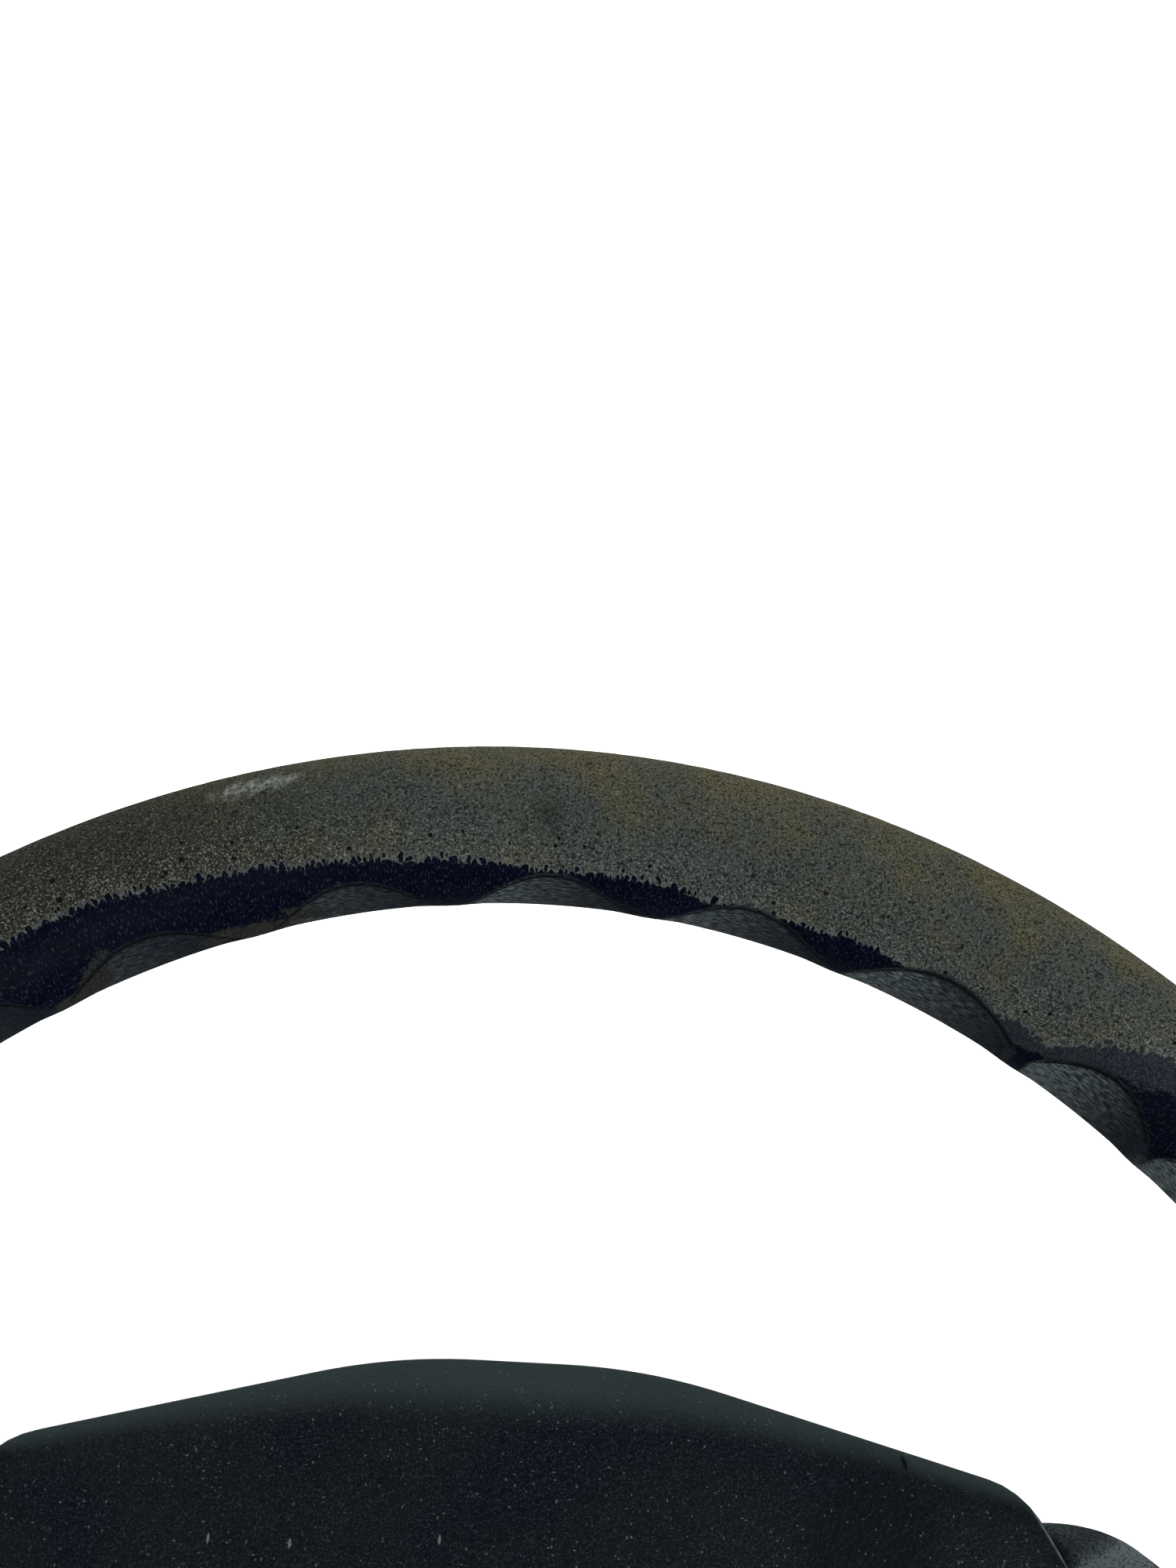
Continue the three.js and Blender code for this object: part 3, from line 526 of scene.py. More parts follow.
    skin_rough = s.scaled(polished, -0.12, 0.55)
    roughness = s.blend(bare, skin_rough, 0.9)
    foam_height = s.minus(s.scaled(speckle, 0.25, -0.35), s.times(pits, 0.3))
    skin_height = s.times(s.minus(1.0, polished), s.times(grain, 0.3))
    height = s.blend(bare, skin_height, foam_height)
    return s.finish(colour, roughness, s.bump(height, 1.0, 0.8), {"Specular IOR Level": 0.05})


PAD_SCRATCHES = [(-48.2, 51.8), (-35.2, 51.7), (-11.5, 53.3), (22, 46), (71, 49)]
PAD_NICK = (65.3, 67.8)
PAD_BLOT = (59, 56)

# The pad's colours, in the same way.
VINYL = (0.0006, 0.0017, 0.0042), (0.002, 0.0034, 0.0046)
TOP_EDGE_HIGHLIGHT, VINYL_GRAIN, GREASE = (0.021, 0.033, 0.033), (0.022, 0.032, 0.041), (0.0008, 0.0014, 0.0034)
DUST, SCRATCHED, NICKED = (0.09, 0.105, 0.105), (0.12, 0.13, 0.13), (0.0004, 0.0006, 0.001)
SIDE_EDGE_HIGHLIGHT = (0.12, 0.14, 0.15)


def pad_material():
    """Satin vinyl with leather grain, sprinkled dust, fine scratches, a greasy dark patch, and painted
    highlights along its top and side edges.
    """
    s = Shader("grained_vinyl")
    x, y = s.component(0), s.component(1)
    fine = s.noise(0.34, 3.0, 0.7)
    wrinkles = s.cells(1.1, "DISTANCE_TO_EDGE")
    broad = s.noise(24.0, 3.0, 0.55)
    colour = s.mix(s.ramp(broad, 0.35, 0.65), *VINYL)
    # Painted highlight: a pale band along the pad's top edge, narrower towards the corners.
    above_corner = s.times(s.math("MAXIMUM", s.minus(s.math("ABSOLUTE", x), 22), 0.0), 0.25)
    below_top = s.minus(s.minus(pad_high[1], above_corner), y)
    top_highlight_band = s.times(below_top, s.scaled(above_corner, 0.13, 1.0))
    colour = s.mix(s.ramp(top_highlight_band, 0.5, 11.0, 0.9, 0.0), colour, TOP_EDGE_HIGHLIGHT)
    colour = s.mix(s.ramp(fine, 0.5, 0.72, 0, 0.8), colour, VINYL_GRAIN)
    blot_edge = s.times(s.noise(9.0), 9.0)
    blot = s.ramp(s.plus(s.distance_to(x, y, PAD_BLOT, 1), blot_edge), 11.0, 20.0, 0.7, 0)
    colour = s.mix(blot, colour, GREASE)
    sparse = s.ramp(s.noise(2.2), 0.44, 0.54)
    for stretch in [(1, 1, 1), (0.9, 0.55, 1), (0.6, 1.1, 1)]:
        dust = s.ramp(s.cells(1.4, at=s.stretched(*stretch)), 0.06, 0.13, 1, 0)
        colour = s.mix(s.times(s.times(dust, sparse), 0.6), colour, DUST)
    for point in PAD_SCRATCHES:
        scratch = s.ramp(s.distance_to(x, y, point, 3), 0.15, 0.3, 0.7, 0)
        colour = s.mix(scratch, colour, SCRATCHED)
    nick = s.ramp(s.distance_to(x, y, PAD_NICK, 2.6), 0.3, 0.55, 0.95, 0)
    colour = s.mix(nick, colour, NICKED)
    # Painted highlight: a pale line along the pad's side edges.
    side_highlight = s.times(s.attribute("edge"), s.ramp(s.noise(4.0), 0.35, 0.5, 0.3, 0.8))
    colour = s.mix(side_highlight, colour, SIDE_EDGE_HIGHLIGHT)
    crease = s.ramp(wrinkles, 0.0, 0.16)
    height = s.plus(s.times(crease, 0.06), s.times(fine, 0.12))
    roughness = s.ramp(broad, 0.3, 0.7, 0.44, 0.52)
    return s.finish(colour, roughness, s.bump(height, 1.0, 0.8), {"Specular IOR Level": 0.06})


def moulded_plastic(name, dark, light, roughness, texture=0.45):
    """Spark-textured moulded plastic with a little dust and fine rubbing."""
    s = Shader(name)
    spark = s.noise(texture, 2.0, 0.7)
    broad = s.noise(24.0, 3.0, 0.6)
    colour = s.mix(s.ramp(broad, 0.3, 0.7), dark, light)
    wear_and_painted_light = s.ramp(s.noise(1.6, 4.0, 0.7, at=s.stretched(0.3, 1, 1)), 0.6, 0.78, 0, 0.35)
    colour = s.mix(wear_and_painted_light, colour, tuple(min(1, 2.4 * c) for c in light))
    rough = s.ramp(broad, 0.25, 0.75, roughness - 0.06, roughness + 0.08)
    return s.finish(colour, rough, s.bump(spark, 0.05, 0.7), {"Specular IOR Level": 0.4})


def metal(name, dark, light, roughness, metallic, stain=None):
    """Metal with drawn or brushed streaks and a patchy film."""
    s = Shader(name)
    streak = s.noise(0.5, 3.0, 0.6, at=s.stretched(1, 0.12, 1))
    patch = s.noise(9.0, 4.0, 0.65)
    streaked = s.plus(s.times(streak, 0.4), s.times(patch, 0.6))
    colour = s.mix(s.ramp(streaked, 0.35, 0.65), dark, light)
    if stain:
        colour = s.mix(s.ramp(s.noise(5.0, 5.0, 0.7), 0.56, 0.7, 0, 0.8), colour, stain)
    rough = s.ramp(patch, 0.3, 0.7, roughness - 0.08, roughness + 0.12)
    return s.finish(colour, rough, s.bump(streak, 0.02, 0.6), {"Metallic": metallic})


MATERIALS = {
    "grip_foam": grip_material(),
    "pad_vinyl": pad_material(),
    "black_plastic": moulded_plastic("black_plastic", (0.012, 0.012, 0.013), (0.022, 0.022, 0.024), 0.55),
    "nylon": moulded_plastic("natural_nylon", (0.52, 0.47, 0.36), (0.66, 0.62, 0.5), 0.45, 0.8),
    "black_steel": metal("black_dip_steel", (0.018, 0.018, 0.02), (0.04, 0.04, 0.042), 0.45, 0.3,
                         stain=(0.09, 0.035, 0.015)),
    "zinc_steel": metal("zinc_steel", (0.42, 0.43, 0.42), (0.68, 0.68, 0.66), 0.32, 1.0,
                        stain=(0.3, 0.27, 0.2)),
    "spring_steel": metal("spring_steel", (0.28, 0.29, 0.3), (0.5, 0.5, 0.52), 0.28, 1.0),
    "brass": metal("brass", (0.5, 0.32, 0.1), (0.74, 0.53, 0.22), 0.3, 1.0),
}


# ---- armature ----
UPPER_BAR = [(34, 16, 38.6), (92, 17, 38.6), (112, 15, 44.5), (142, 6, 56), (167.9, -1, 65)]
LOWER_BAR = [(34, 0, 38.6), (86, 0, 38.6), (104, 0, 43), (136, 0, 54), (168.5, 0, 65)]
BAR_HALF_WIDTH, BAR_HALF_THICKNESS = 9, 2
BAR_CORNER = 0.8
SHROUD_SCREW_RADIUS = 2
SEAT_GAP = 0.1  # round steel that the foam was moulded over


def placed(points, turn, side):
    x, y, z = np.asarray(points, float).T
    turned_x = x * math.cos(turn) - y * math.sin(turn)
    return np.stack([side * turned_x, x * math.sin(turn) + y * math.cos(turn), z], -1)


def bar_mesh(centres, grow=0.0):
    """A flat bar with eased edges along a cranked line, and its two plain ends."""
    table = np.array(centres, float)
    stations = np.arange(table[0, 0], table[-1, 0] + 0.01, 2)
    stations[-1] = table[-1, 0]
    reach = np.arange(-4, 5) * 1.0
    weights = np.exp(-0.5 * (reach / 2.5) ** 2)
    weights /= weights.sum()
    near = stations[:, None] + reach
    middle = [np.interp(near, table[:, 0], table[:, column]) @ weights for column in (1, 2)]
    half_y, half_z = BAR_HALF_WIDTH + grow, BAR_HALF_THICKNESS + grow
    section = rounded_rectangle(half_y, half_z, BAR_CORNER * 2, 4)
    rings = []
    for x, y, z in zip(stations, *middle):
        rings.append(np.column_stack([np.full(len(section), x), section + (y, z)]))
    rings[-1][:, 0] += grow
    rings[0][:, 0] -= grow
    count = len(section)
    faces = [list(f) for f in grid_faces(len(rings), count)]
    faces += [list(range(count)), list(range(count * (len(rings) - 1), count * len(rings)))]
    return np.concatenate(rings), faces


ROD_STEPS = 240
ROD_WELD = 0.25  # how proud the butt weld of the rod's ends stands, at the bottom of the wheel


def rod_mesh(grow=0.0):
    angle = np.arange(ROD_STEPS) * 2 * math.pi / ROD_STEPS
    section = np.arange(20) * 2 * math.pi / 20
    weld = ROD_WELD * np.exp(-(((np.degrees(angle) - 270) / 1.0) ** 2))[:, None] * (grow == 0)
    radius = ROD_RADIUS + grow + weld
    out = RIM_RADIUS + radius * np.cos(section)
    z = RIM_Z + radius * np.sin(section)
    points = np.stack([out * np.cos(angle)[:, None], out * np.sin(angle)[:, None], z], -1)
    return points.reshape(-1, 3), grid_faces(ROD_STEPS, 20, wrap_rows=True)


BARS = [(name, LOWER_BAR if turn else UPPER_BAR, turn, side) for name, _, turn, side in SPOKES]


def make_armature():
    mesh_piece("core_rod", *rod_mesh(), "wheel", "black_steel", "rim_core_rod")
    for name, centres, turn, side in BARS:
        points, faces = bar_mesh(centres)
        points = placed(points, turn, side)
        mesh_piece(f"bar_{name}", points, faces, "wheel", "black_steel", f"spoke_bar_{name}")


def foam_cutters():
    """What the foam is moulded over, and the screw holes up into the tray."""
    tools = [add_solid("tool", *rod_mesh(SEAT_GAP))]
    for _, centres, turn, side in BARS:
        points, faces = bar_mesh(centres, SEAT_GAP)
        tools.append(add_solid("tool", placed(points, turn, side), faces))
    for node in SHROUD_SCREW_NODES:
        x, y, _ = centre(node)
        hole = circle(SHROUD_SCREW_RADIUS + SEAT_GAP, 20, x, y)
        tools.append(add_solid("tool", *prism(hole, 0, TRAY_TOP - 1)))
    return tools


# ---- rim and spokes: one foam moulding ----
def scallop_phase(angle):
    """At angles round the wheel: the phase inside a scallop, -0.5 to 0.5, and 1 where there is one."""
    phase = np.zeros_like(angle)
    there = np.zeros_like(angle)
    for ridges in SCALLOP_RIDGES:
        within = (angle >= ridges[0]) & (angle <= ridges[-1])
        place = np.interp(angle, ridges, np.arange(len(ridges)))
        phase = np.where(within, place - np.floor(place) - 0.5, phase)
        there = np.where(within, 1.0, there)
    return phase, there


LIP_DEPTH = 0.3  # where the scallop starts, at its crisp front edge
SCALLOP_DEPTH = 1.0  # deeper in, behind the rim
# Section angle of the front edge at angles round the wheel: mid-scallop, then on a ridge.
LIP_MIDDLE = [(0, 134), (51, 134.5), (64, 140.5), (77, 148), (116, 148), (129, 136), (180, 134)]
LIP_RIDGE = [(0, 166), (51, 166), (64, 178), (77, 205), (116, 205), (129, 172), (180, 166)]
LIP_WIDTH = 2.0  # degrees of section over which the front edge drops
SCALLOP_END = (262, 298)


def lip_angle(angle):
    phase, there = scallop_phase(angle)
    from_right = np.where(angle > 180, 360 - angle, angle)
    middle, ridge = (np.interp(from_right, *np.array(table, float).T) for table in (LIP_MIDDLE, LIP_RIDGE))
    lip = middle + (ridge - middle) * np.abs(2 * phase) ** 2
    return np.where(there > 0, lip, ridge)


def scallop_depth(angle, section):
    phase, there = scallop_phase(angle)
    trough = there * (1 - smoothstep(0.3, 0.5, np.abs(phase)))
    past_lip = section - lip_angle(angle)
    stepped = smoothstep(-LIP_WIDTH / 2, LIP_WIDTH / 2, past_lip)
    scooped = LIP_DEPTH + (SCALLOP_DEPTH - LIP_DEPTH) * smoothstep(60, 110, past_lip)
    return trough * stepped * scooped * (1 - smoothstep(*SCALLOP_END, section))


RIM_COLUMNS = 760
FRONT_ROWS, SIDE_ROWS = 32, 28


def rim_mesh():
    """The grip: rows follow the scallops' front edge, so that it stays crisp."""
    angle = np.arange(RIM_COLUMNS) * 360 / RIM_COLUMNS
    lip = lip_angle(angle)[:, None]
    front = np.linspace(0, 1, FRONT_ROWS, endpoint=False)[None, :] ** 0.8
    side = np.linspace(0, 1, SIDE_ROWS, endpoint=False)[None, :]
    before = -90 + (lip - LIP_WIDTH / 2 + 90) * front
    edge = np.concatenate([lip - LIP_WIDTH / 2, lip, lip + LIP_WIDTH / 2], 1)
    start = lip + LIP_WIDTH / 2 + 1.5
    section = np.concatenate([before, edge, start + (270 - start) * side], 1)
    turn = np.broadcast_to(angle[:, None], section.shape)
    radius = GRIP_RADIUS - scallop_depth(turn, section)
    out = RIM_RADIUS + radius * np.cos(np.radians(section))
    points = np.stack([
        out * np.cos(np.radians(turn)),
        out * np.sin(np.radians(turn)),
        RIM_Z + radius * np.sin(np.radians(section)),
    ], -1)
    return points.reshape(-1, 3), grid_faces(RIM_COLUMNS, section.shape[1], wrap_rows=True)


OUTLINE_STEP = 0.8
OUTLINE_REACH = np.array([128.0, 108.0])


def outline_grid():
    """Signed distance in mm to the pad's outline, on a flat grid that the fields below look up."""
    axes = [np.arange(-reach, reach + OUTLINE_STEP, OUTLINE_STEP) for reach in OUTLINE_REACH]
    x, y = np.meshgrid(*axes, indexing="ij")
    best = np.full(x.shape, 1e9)
    inside = np.zeros(x.shape, bool)
    for (ax, ay), (bx, by) in zip(pad_path, np.roll(pad_path, -1, 0)):
        length_squared = max((bx - ax) ** 2 + (by - ay) ** 2, 1e-12)
        share = np.clip(((x - ax) * (bx - ax) + (y - ay) * (by - ay)) / length_squared, 0, 1)
        best = np.minimum(best, np.hypot(x - ax - share * (bx - ax), y - ay - share * (by - ay)))
        if ay != by:
            inside ^= ((ay > y) != (by > y)) & (x < (bx - ax) * (y - ay) / (by - ay) + ax)
    return np.where(inside, -best, best)


outline_distances = outline_grid()


def outline_distance(x, y):
    u = np.clip((x + OUTLINE_REACH[0]) / OUTLINE_STEP, 0, outline_distances.shape[0] - 1.001)
    v = np.clip((y + OUTLINE_REACH[1]) / OUTLINE_STEP, 0, outline_distances.shape[1] - 1.001)
    i, j = u.astype(int), v.astype(int)
    u, v = u - i, v - j
    d = outline_distances
    return (d[i, j] * (1 - u) + d[i + 1, j] * u) * (1 - v) + (d[i, j + 1] * (1 - u) + d[i + 1, j + 1] * u) * v


def eased_sections(sections):
    """The sections' values at every millimetre along the spoke, with the kinks between them eased."""
    table = np.array(sections, float)
    stations = np.arange(table[0, 0] - 24, table[-1, 0] + 24)
    columns = [np.interp(stations, table[:, 0], table[:, k]) for k in range(1, 5)]
    kernel = np.exp(-0.5 * (np.arange(-12, 13) / 4.5) ** 2)
    kernel /= kernel.sum()
    return stations, [np.convolve(np.pad(c, 12, "edge"), kernel, "valid") for c in columns]


SPOKE_TABLES = {name: eased_sections(sections) for name, sections, _, _ in SPOKES}


def spoke_field(x, y, z, spoke):
    """Roughly the distance in mm to a spoke's skin: a squarish section that changes along it."""
    name, sections, turn, side = spoke
    along = side * x * math.cos(turn) + y * math.sin(turn)
    across = -side * x * math.sin(turn) + y * math.cos(turn)
    stations, columns = SPOKE_TABLES[name]
    low_y, high_y, low_z, high_z = (np.interp(along, stations, column) for column in columns)
    half_y, half_z = (high_y - low_y) / 2, (high_z - low_z) / 2
    u = np.abs(across - (low_y + high_y) / 2) / half_y
    v = np.abs(z - (low_z + high_z) / 2) / half_z
    rho = np.maximum((u**4 + v**4) ** 0.25, 1e-6)
    slope = np.sqrt((u**3 / half_y) ** 2 + (v**3 / half_z) ** 2) / rho**3
    skin = (rho - 1) / np.maximum(slope, 0.03)
    ends = np.maximum(sections[0][0] - along, along - sections[-1][0])
    return smooth_max(skin, ends, 2)


FILLET = 9  # where a spoke runs into the grip
TUCK = 0.12  # how far the spokes' own skin lies under the grip's away from the fillet


def body_field(x, y, z):
    """The spokes and the tray under the pad."""
    edge = outline_distance(x, y)
    tray_middle, tray_half = (TRAY_BOTTOM + TRAY_TOP) / 2, (TRAY_TOP - TRAY_BOTTOM) / 2
    body = smooth_max(edge + TRAY_INSET, np.abs(z - tray_middle) - tray_half, 1.5)
    for spoke in SPOKES:
        body = smooth_min(body, spoke_field(x, y, z, spoke), 4)
    return body, edge


def moulding_field(x, y, z):
    body, edge = body_field(x, y, z)
    opening = np.maximum(np.abs(x) - OPENING_HALF[0], np.abs(y) - OPENING_HALF[1])
    grip = np.hypot(np.hypot(x, y) - RIM_RADIUS, z - RIM_Z) - (GRIP_RADIUS - TUCK)
    joined = smooth_min(body, grip, FILLET)
    pocket = smooth_max(edge - POCKET_GAP, TRAY_TOP - z, 2)
    joined = smooth_max(joined, -pocket, 2.2)
    joined = smooth_max(joined, -opening, 1)
    return np.maximum(joined, body - FILLET - 1)


def unpinched(values):
    """The grid's values, with no grid face that has just its two diagonal corners inside."""
    for _ in range(8):
        pinches = 0
        for axis in range(3):
            flat = np.moveaxis(values, axis, 2)
            here, beside, above, across = flat[:-1, :-1], flat[1:, :-1], flat[:-1, 1:], flat[1:, 1:]
            diagonal = ((here < 0) == (across < 0)) & ((beside < 0) == (above < 0))
            pinched = diagonal & ((here < 0) != (beside < 0))
            outside = here >= 0
            here[pinched & outside] = -1e-3
            beside[pinched & ~outside] = -1e-3
            pinches += pinched.sum()
        if not pinches:
            break
    return values


def surface_net(field, low, high, step):
    """A closed quad mesh of where the field is zero, from a vertex in each cell that it crosses."""
    axes = [np.arange(a, b + step, step) for a, b in zip(low, high)]
    values = unpinched(field(*np.meshgrid(*axes, indexing="ij")))
    inside = values < 0
    shape = tuple(n - 1 for n in values.shape)
    total, count = np.zeros((*shape, 3)), np.zeros(shape)

    def shifted(by, grid):
        return grid[tuple(slice(first, first + n) for first, n in zip(by, shape))]

    for axis in range(3):
        for first in (0, 1):
            for second in (0, 1):
                start = np.insert([first, second], axis, 0)
                end = np.insert([first, second], axis, 1)
                v0, v1 = shifted(start, values), shifted(end, values)
                crossed = (v0 < 0) != (v1 < 0)
                share = np.where(crossed, v0 / np.where(crossed, v0 - v1, 1), 0)
                place = start + share[..., None] * (end - start)
                total += np.where(crossed[..., None], place, 0)
                count += crossed
    active = count > 0
    number = np.full(shape, -1)
    number[active] = np.arange(active.sum())
    origin = np.stack(np.meshgrid(*[a[:-1] for a in axes], indexing="ij"), -1)
    points = origin[active] + total[active] / count[active][:, None] * step
    faces = []
    for axis in range(3):
        b, c = (axis + 1) % 3, (axis + 2) % 3
        before = inside[tuple(slice(0, -1) if k == axis else slice(1, -1) for k in range(3))]
        after = inside[tuple(slice(1, None) if k == axis else slice(1, -1) for k in range(3))]
        for flips, sign in ((before & ~after, 1), (~before & after, -1)):
            cell = np.argwhere(flips)
            cell[:, b] += 1
            cell[:, c] += 1
            quad = []
            for db, dc in ((-1, -1), (0, -1), (0, 0), (-1, 0)):
                at = cell.copy()
                at[:, b] += db
                at[:, c] += dc
                quad.append(number[tuple(at.T)])
            faces.append(np.stack(quad[::sign], -1))
    return points, np.concatenate(faces)


def pulled_to_zero(field, points, rounds=3, reach=0.02, furthest=0.6):
    """The points moved along the field's slope until they lie on its zero."""
    points = points.copy()
    for _ in range(rounds):
        value = field(*points.T)
        steps = np.eye(3) * reach
        rises = [field(*(points + step).T) - field(*(points - step).T) for step in steps]
        slope = np.stack(rises, -1) / (2 * reach)
        move = value[:, None] * slope / np.maximum((slope**2).sum(1), 0.05)[:, None]
        length = np.linalg.norm(move, axis=1)[:, None]
        points -= move * np.minimum(1, furthest / np.maximum(length, 1e-9))
    return points


def grip_attributes(mesh):
    """Stores where each vertex lies on the grip, how worn it is there, and the painted light and shade on its
    skin.
    """
    co = np.zeros(len(mesh.vertices) * 3)
    mesh.vertices.foreach_get("co", co)
    x, y, z = (co.reshape(-1, 3) / MM).T
    angle = np.degrees(np.arctan2(y, x)) % 360
    out = np.hypot(x, y) - RIM_RADIUS
    section = (np.degrees(np.arctan2(z - RIM_Z, out)) + 90) % 360 - 90
    off_grip = np.hypot(out, z - RIM_Z) - GRIP_RADIUS
    mm_round, mm_across = math.radians(RIM_RADIUS), math.radians(GRIP_RADIUS)

    def line(stations):
        return np.interp(angle, *np.array(stations, float).T)

    def spot(at, at_section, lean, half_length, half_width):
        """1 in the middle of a spot, 0 at its edge, and less beyond."""
        beside = (angle - at) * mm_round
        down = (section - at_section) * mm_across
        return 1 - np.hypot((beside - lean * down) / half_length, down / half_width)

    # How deep in mm each vertex lies inside the bare foam, and inside the half-worn skin.
    lower = (section - line(BARE_LOWER)) * mm_across
    bottom_half = 34 * smoothstep(0, 14, np.minimum(angle - 180, 360 - angle))
    held_back = bottom_half + np.maximum(off_grip, 0) * 2
    bare = np.minimum((line(BARE_UPPER) - section) * mm_across, lower) - held_back
    dull = np.minimum((line(DULL_UPPER) - section) * mm_across, lower) - held_back
    for row in HALF_WORN_SPOTS:
        dull = np.maximum(dull, spot(*row) * min(row[3:]))

    phase, there = scallop_phase(angle)
    past_lip = (section - lip_angle(angle)) / LIP_WIDTH
    trough = there * (1 - smoothstep(0.4, 0.5, np.abs(phase)))
    scallop = trough * smoothstep(-1.2, -0.4, past_lip)
    near_wear = smoothstep(-26, -15, bare)

    # The grained skin's paleness, with painted light: a painted highlight at one end of each scallop, painted
    # shade on the left, and paler on the spokes.
    scallop_highlight_peak = 1.2 + 0.9 * (1 - smoothstep(58, 72, angle))
    wear_and_painted_light = 0.42 + 0.2 * smoothstep(0.3, 3, off_grip) + scallop * (scallop_highlight_peak * (phase + 0.5) ** 1.8 - 0.34)
    wear_and_painted_light *= 1 - 0.5 * smoothstep(92, 112, angle) * (1 - smoothstep(160, 200, angle))
    layers = {
        "along": ((angle - 270) % 360) * mm_round,
        "across": section * mm_across,
        "bare": bare,
        "dull": dull,
        "polish": near_wear * (1 - scallop) * (1 - smoothstep(1, 8, off_grip)),
        "smudge": np.clip(spot(*SMUDGE), 0, 1),
        "scuff": np.clip(spot(*SCUFF) * 3, 0, 1),
        # Painted shade along the scallops' front crease.
        "crease": trough * np.exp(-(((past_lip + 1.0) / 1.6) ** 2)),
        "grip": 1 - smoothstep(0.3, 3, off_grip),
        "wear_and_painted_light": wear_and_painted_light,
        "scallop": scallop,
    }
    for name, values in layers.items():
        layer = mesh.attributes.new(name, "FLOAT", "POINT")
        layer.data.foreach_set("value", values.astype(np.float32))


NET_STEP = 1.5


def make_moulding():
    low = (-RIM_RADIUS - 16, -RIM_RADIUS - 16, TRAY_BOTTOM - 4)
    high = (RIM_RADIUS + 16, 84, RIM_Z + GRIP_RADIUS + 4)
    points, faces = surface_net(moulding_field, low, high, NET_STEP)
    points = pulled_to_zero(moulding_field, points)
    spokes = add_solid("tool", points, faces)
    piece = mesh_piece("grip_and_spokes", *rim_mesh(), "wheel", "grip_foam", "rim_moulding")
    boolean(piece, [spokes], "UNION", sharp=50)
    boolean(piece, foam_cutters(), sharp=50)
    grip_attributes(piece.data)


# ---- the pad ----
def make_pad():
    """A vinyl-covered foam pad: rounded shoulder, gentle crown, and a skirt round the backing plate."""
    skirt, crown, side_top, shoulder_top = pad_low[2], pad_high[2], 52, 62.9
    wall, shoulder = PAD_WALL, 10
    cavity_top = backing_high[2] + 0.3
    count = 240

    # From inside the skirt, down under its edge, and up the side: inset from the outline, and height.
    profile = [
        (wall, cavity_top),
        (wall, cavity_top - 0.4),
        (wall, skirt + 1),
        (wall - 0.5, skirt + 0.2),
        (wall - 1.2, skirt),
        (2.2, skirt),
        (1.2, skirt + 0.2),
        (0.4, skirt + 1),
        (0, skirt + 2.6),
        (0, side_top),
    ]
    edge_ring = len(profile) + 3  # where the side turns into the shoulder
    for t in np.linspace(0, 1, 14)[1:]:
        turn = t * math.pi / 2
        rise = math.sin(turn) ** 0.82 * (0.93 + 0.07 * t)
        profile.append((shoulder * (1 - math.cos(turn) ** 0.9), side_top + (shoulder_top - side_top) * rise))
    rings = [np.column_stack([outline_at(-inset, count), np.full(count, z)]) for inset, z in profile]

    # The crown: each ring is nearer to an oval than the one outside it.
    edge = outline_at(-shoulder, count)
    polar = np.arctan2(edge[:, 1], edge[:, 0])
    oval = np.stack([80 * np.cos(polar), 62 * np.sin(polar)], -1)
    for scale in np.linspace(1, 0.04, 26)[1:]:
        share = scale**1.5
        flat = (edge * share + oval * (1 - share)) * scale
        rings.append(np.column_stack([flat, np.full(count, crown - (crown - shoulder_top) * scale**2)]))
    points = np.concatenate(rings)
    faces = [list(f) for f in grid_faces(len(rings), count)]
    faces.append(list(range(count)))
    faces.append(list(range(len(points) - count, len(points))))
    piece = mesh_piece("vinyl_pad", points, faces, "horn_pad", "pad_vinyl", "pad_cover", sharp=60)

    # A painted highlight along the pad's side edges, where the side turns into the shoulder.
    wear_and_painted_light = np.zeros(len(points))
    on_edge = slice(edge_ring * count, (edge_ring + 1) * count)
    y = points[on_edge, 1]
    wear_and_painted_light[on_edge] = smoothstep(10, 45, y) * (1 - smoothstep(58, 62, y))
    layer = piece.data.attributes.new("edge", "FLOAT", "POINT")
    layer.data.foreach_set("value", wear_and_painted_light.astype(np.float32))


# ---- hub ----
BOSS_RADIUS, BOSS_BORE_RADIUS, NUT_WELL_RADIUS = 21, 8.5, 16
SPLINE_TEETH, SPLINE_DEPTH = 20, 0.8
CLEARANCE = 0.3
BUSH_RADIUS, BUSH_BORE, BUSH_FLANGE = 5, 3.3, 8.5


def trapezoid_wave(turns):
    """From 0 in a gap to 1 on a tooth, with sloping flanks."""
    phase = np.abs((turns % 1) - 0.5) * 2
    return np.clip((phase - 0.3) / 0.4, 0, 1)


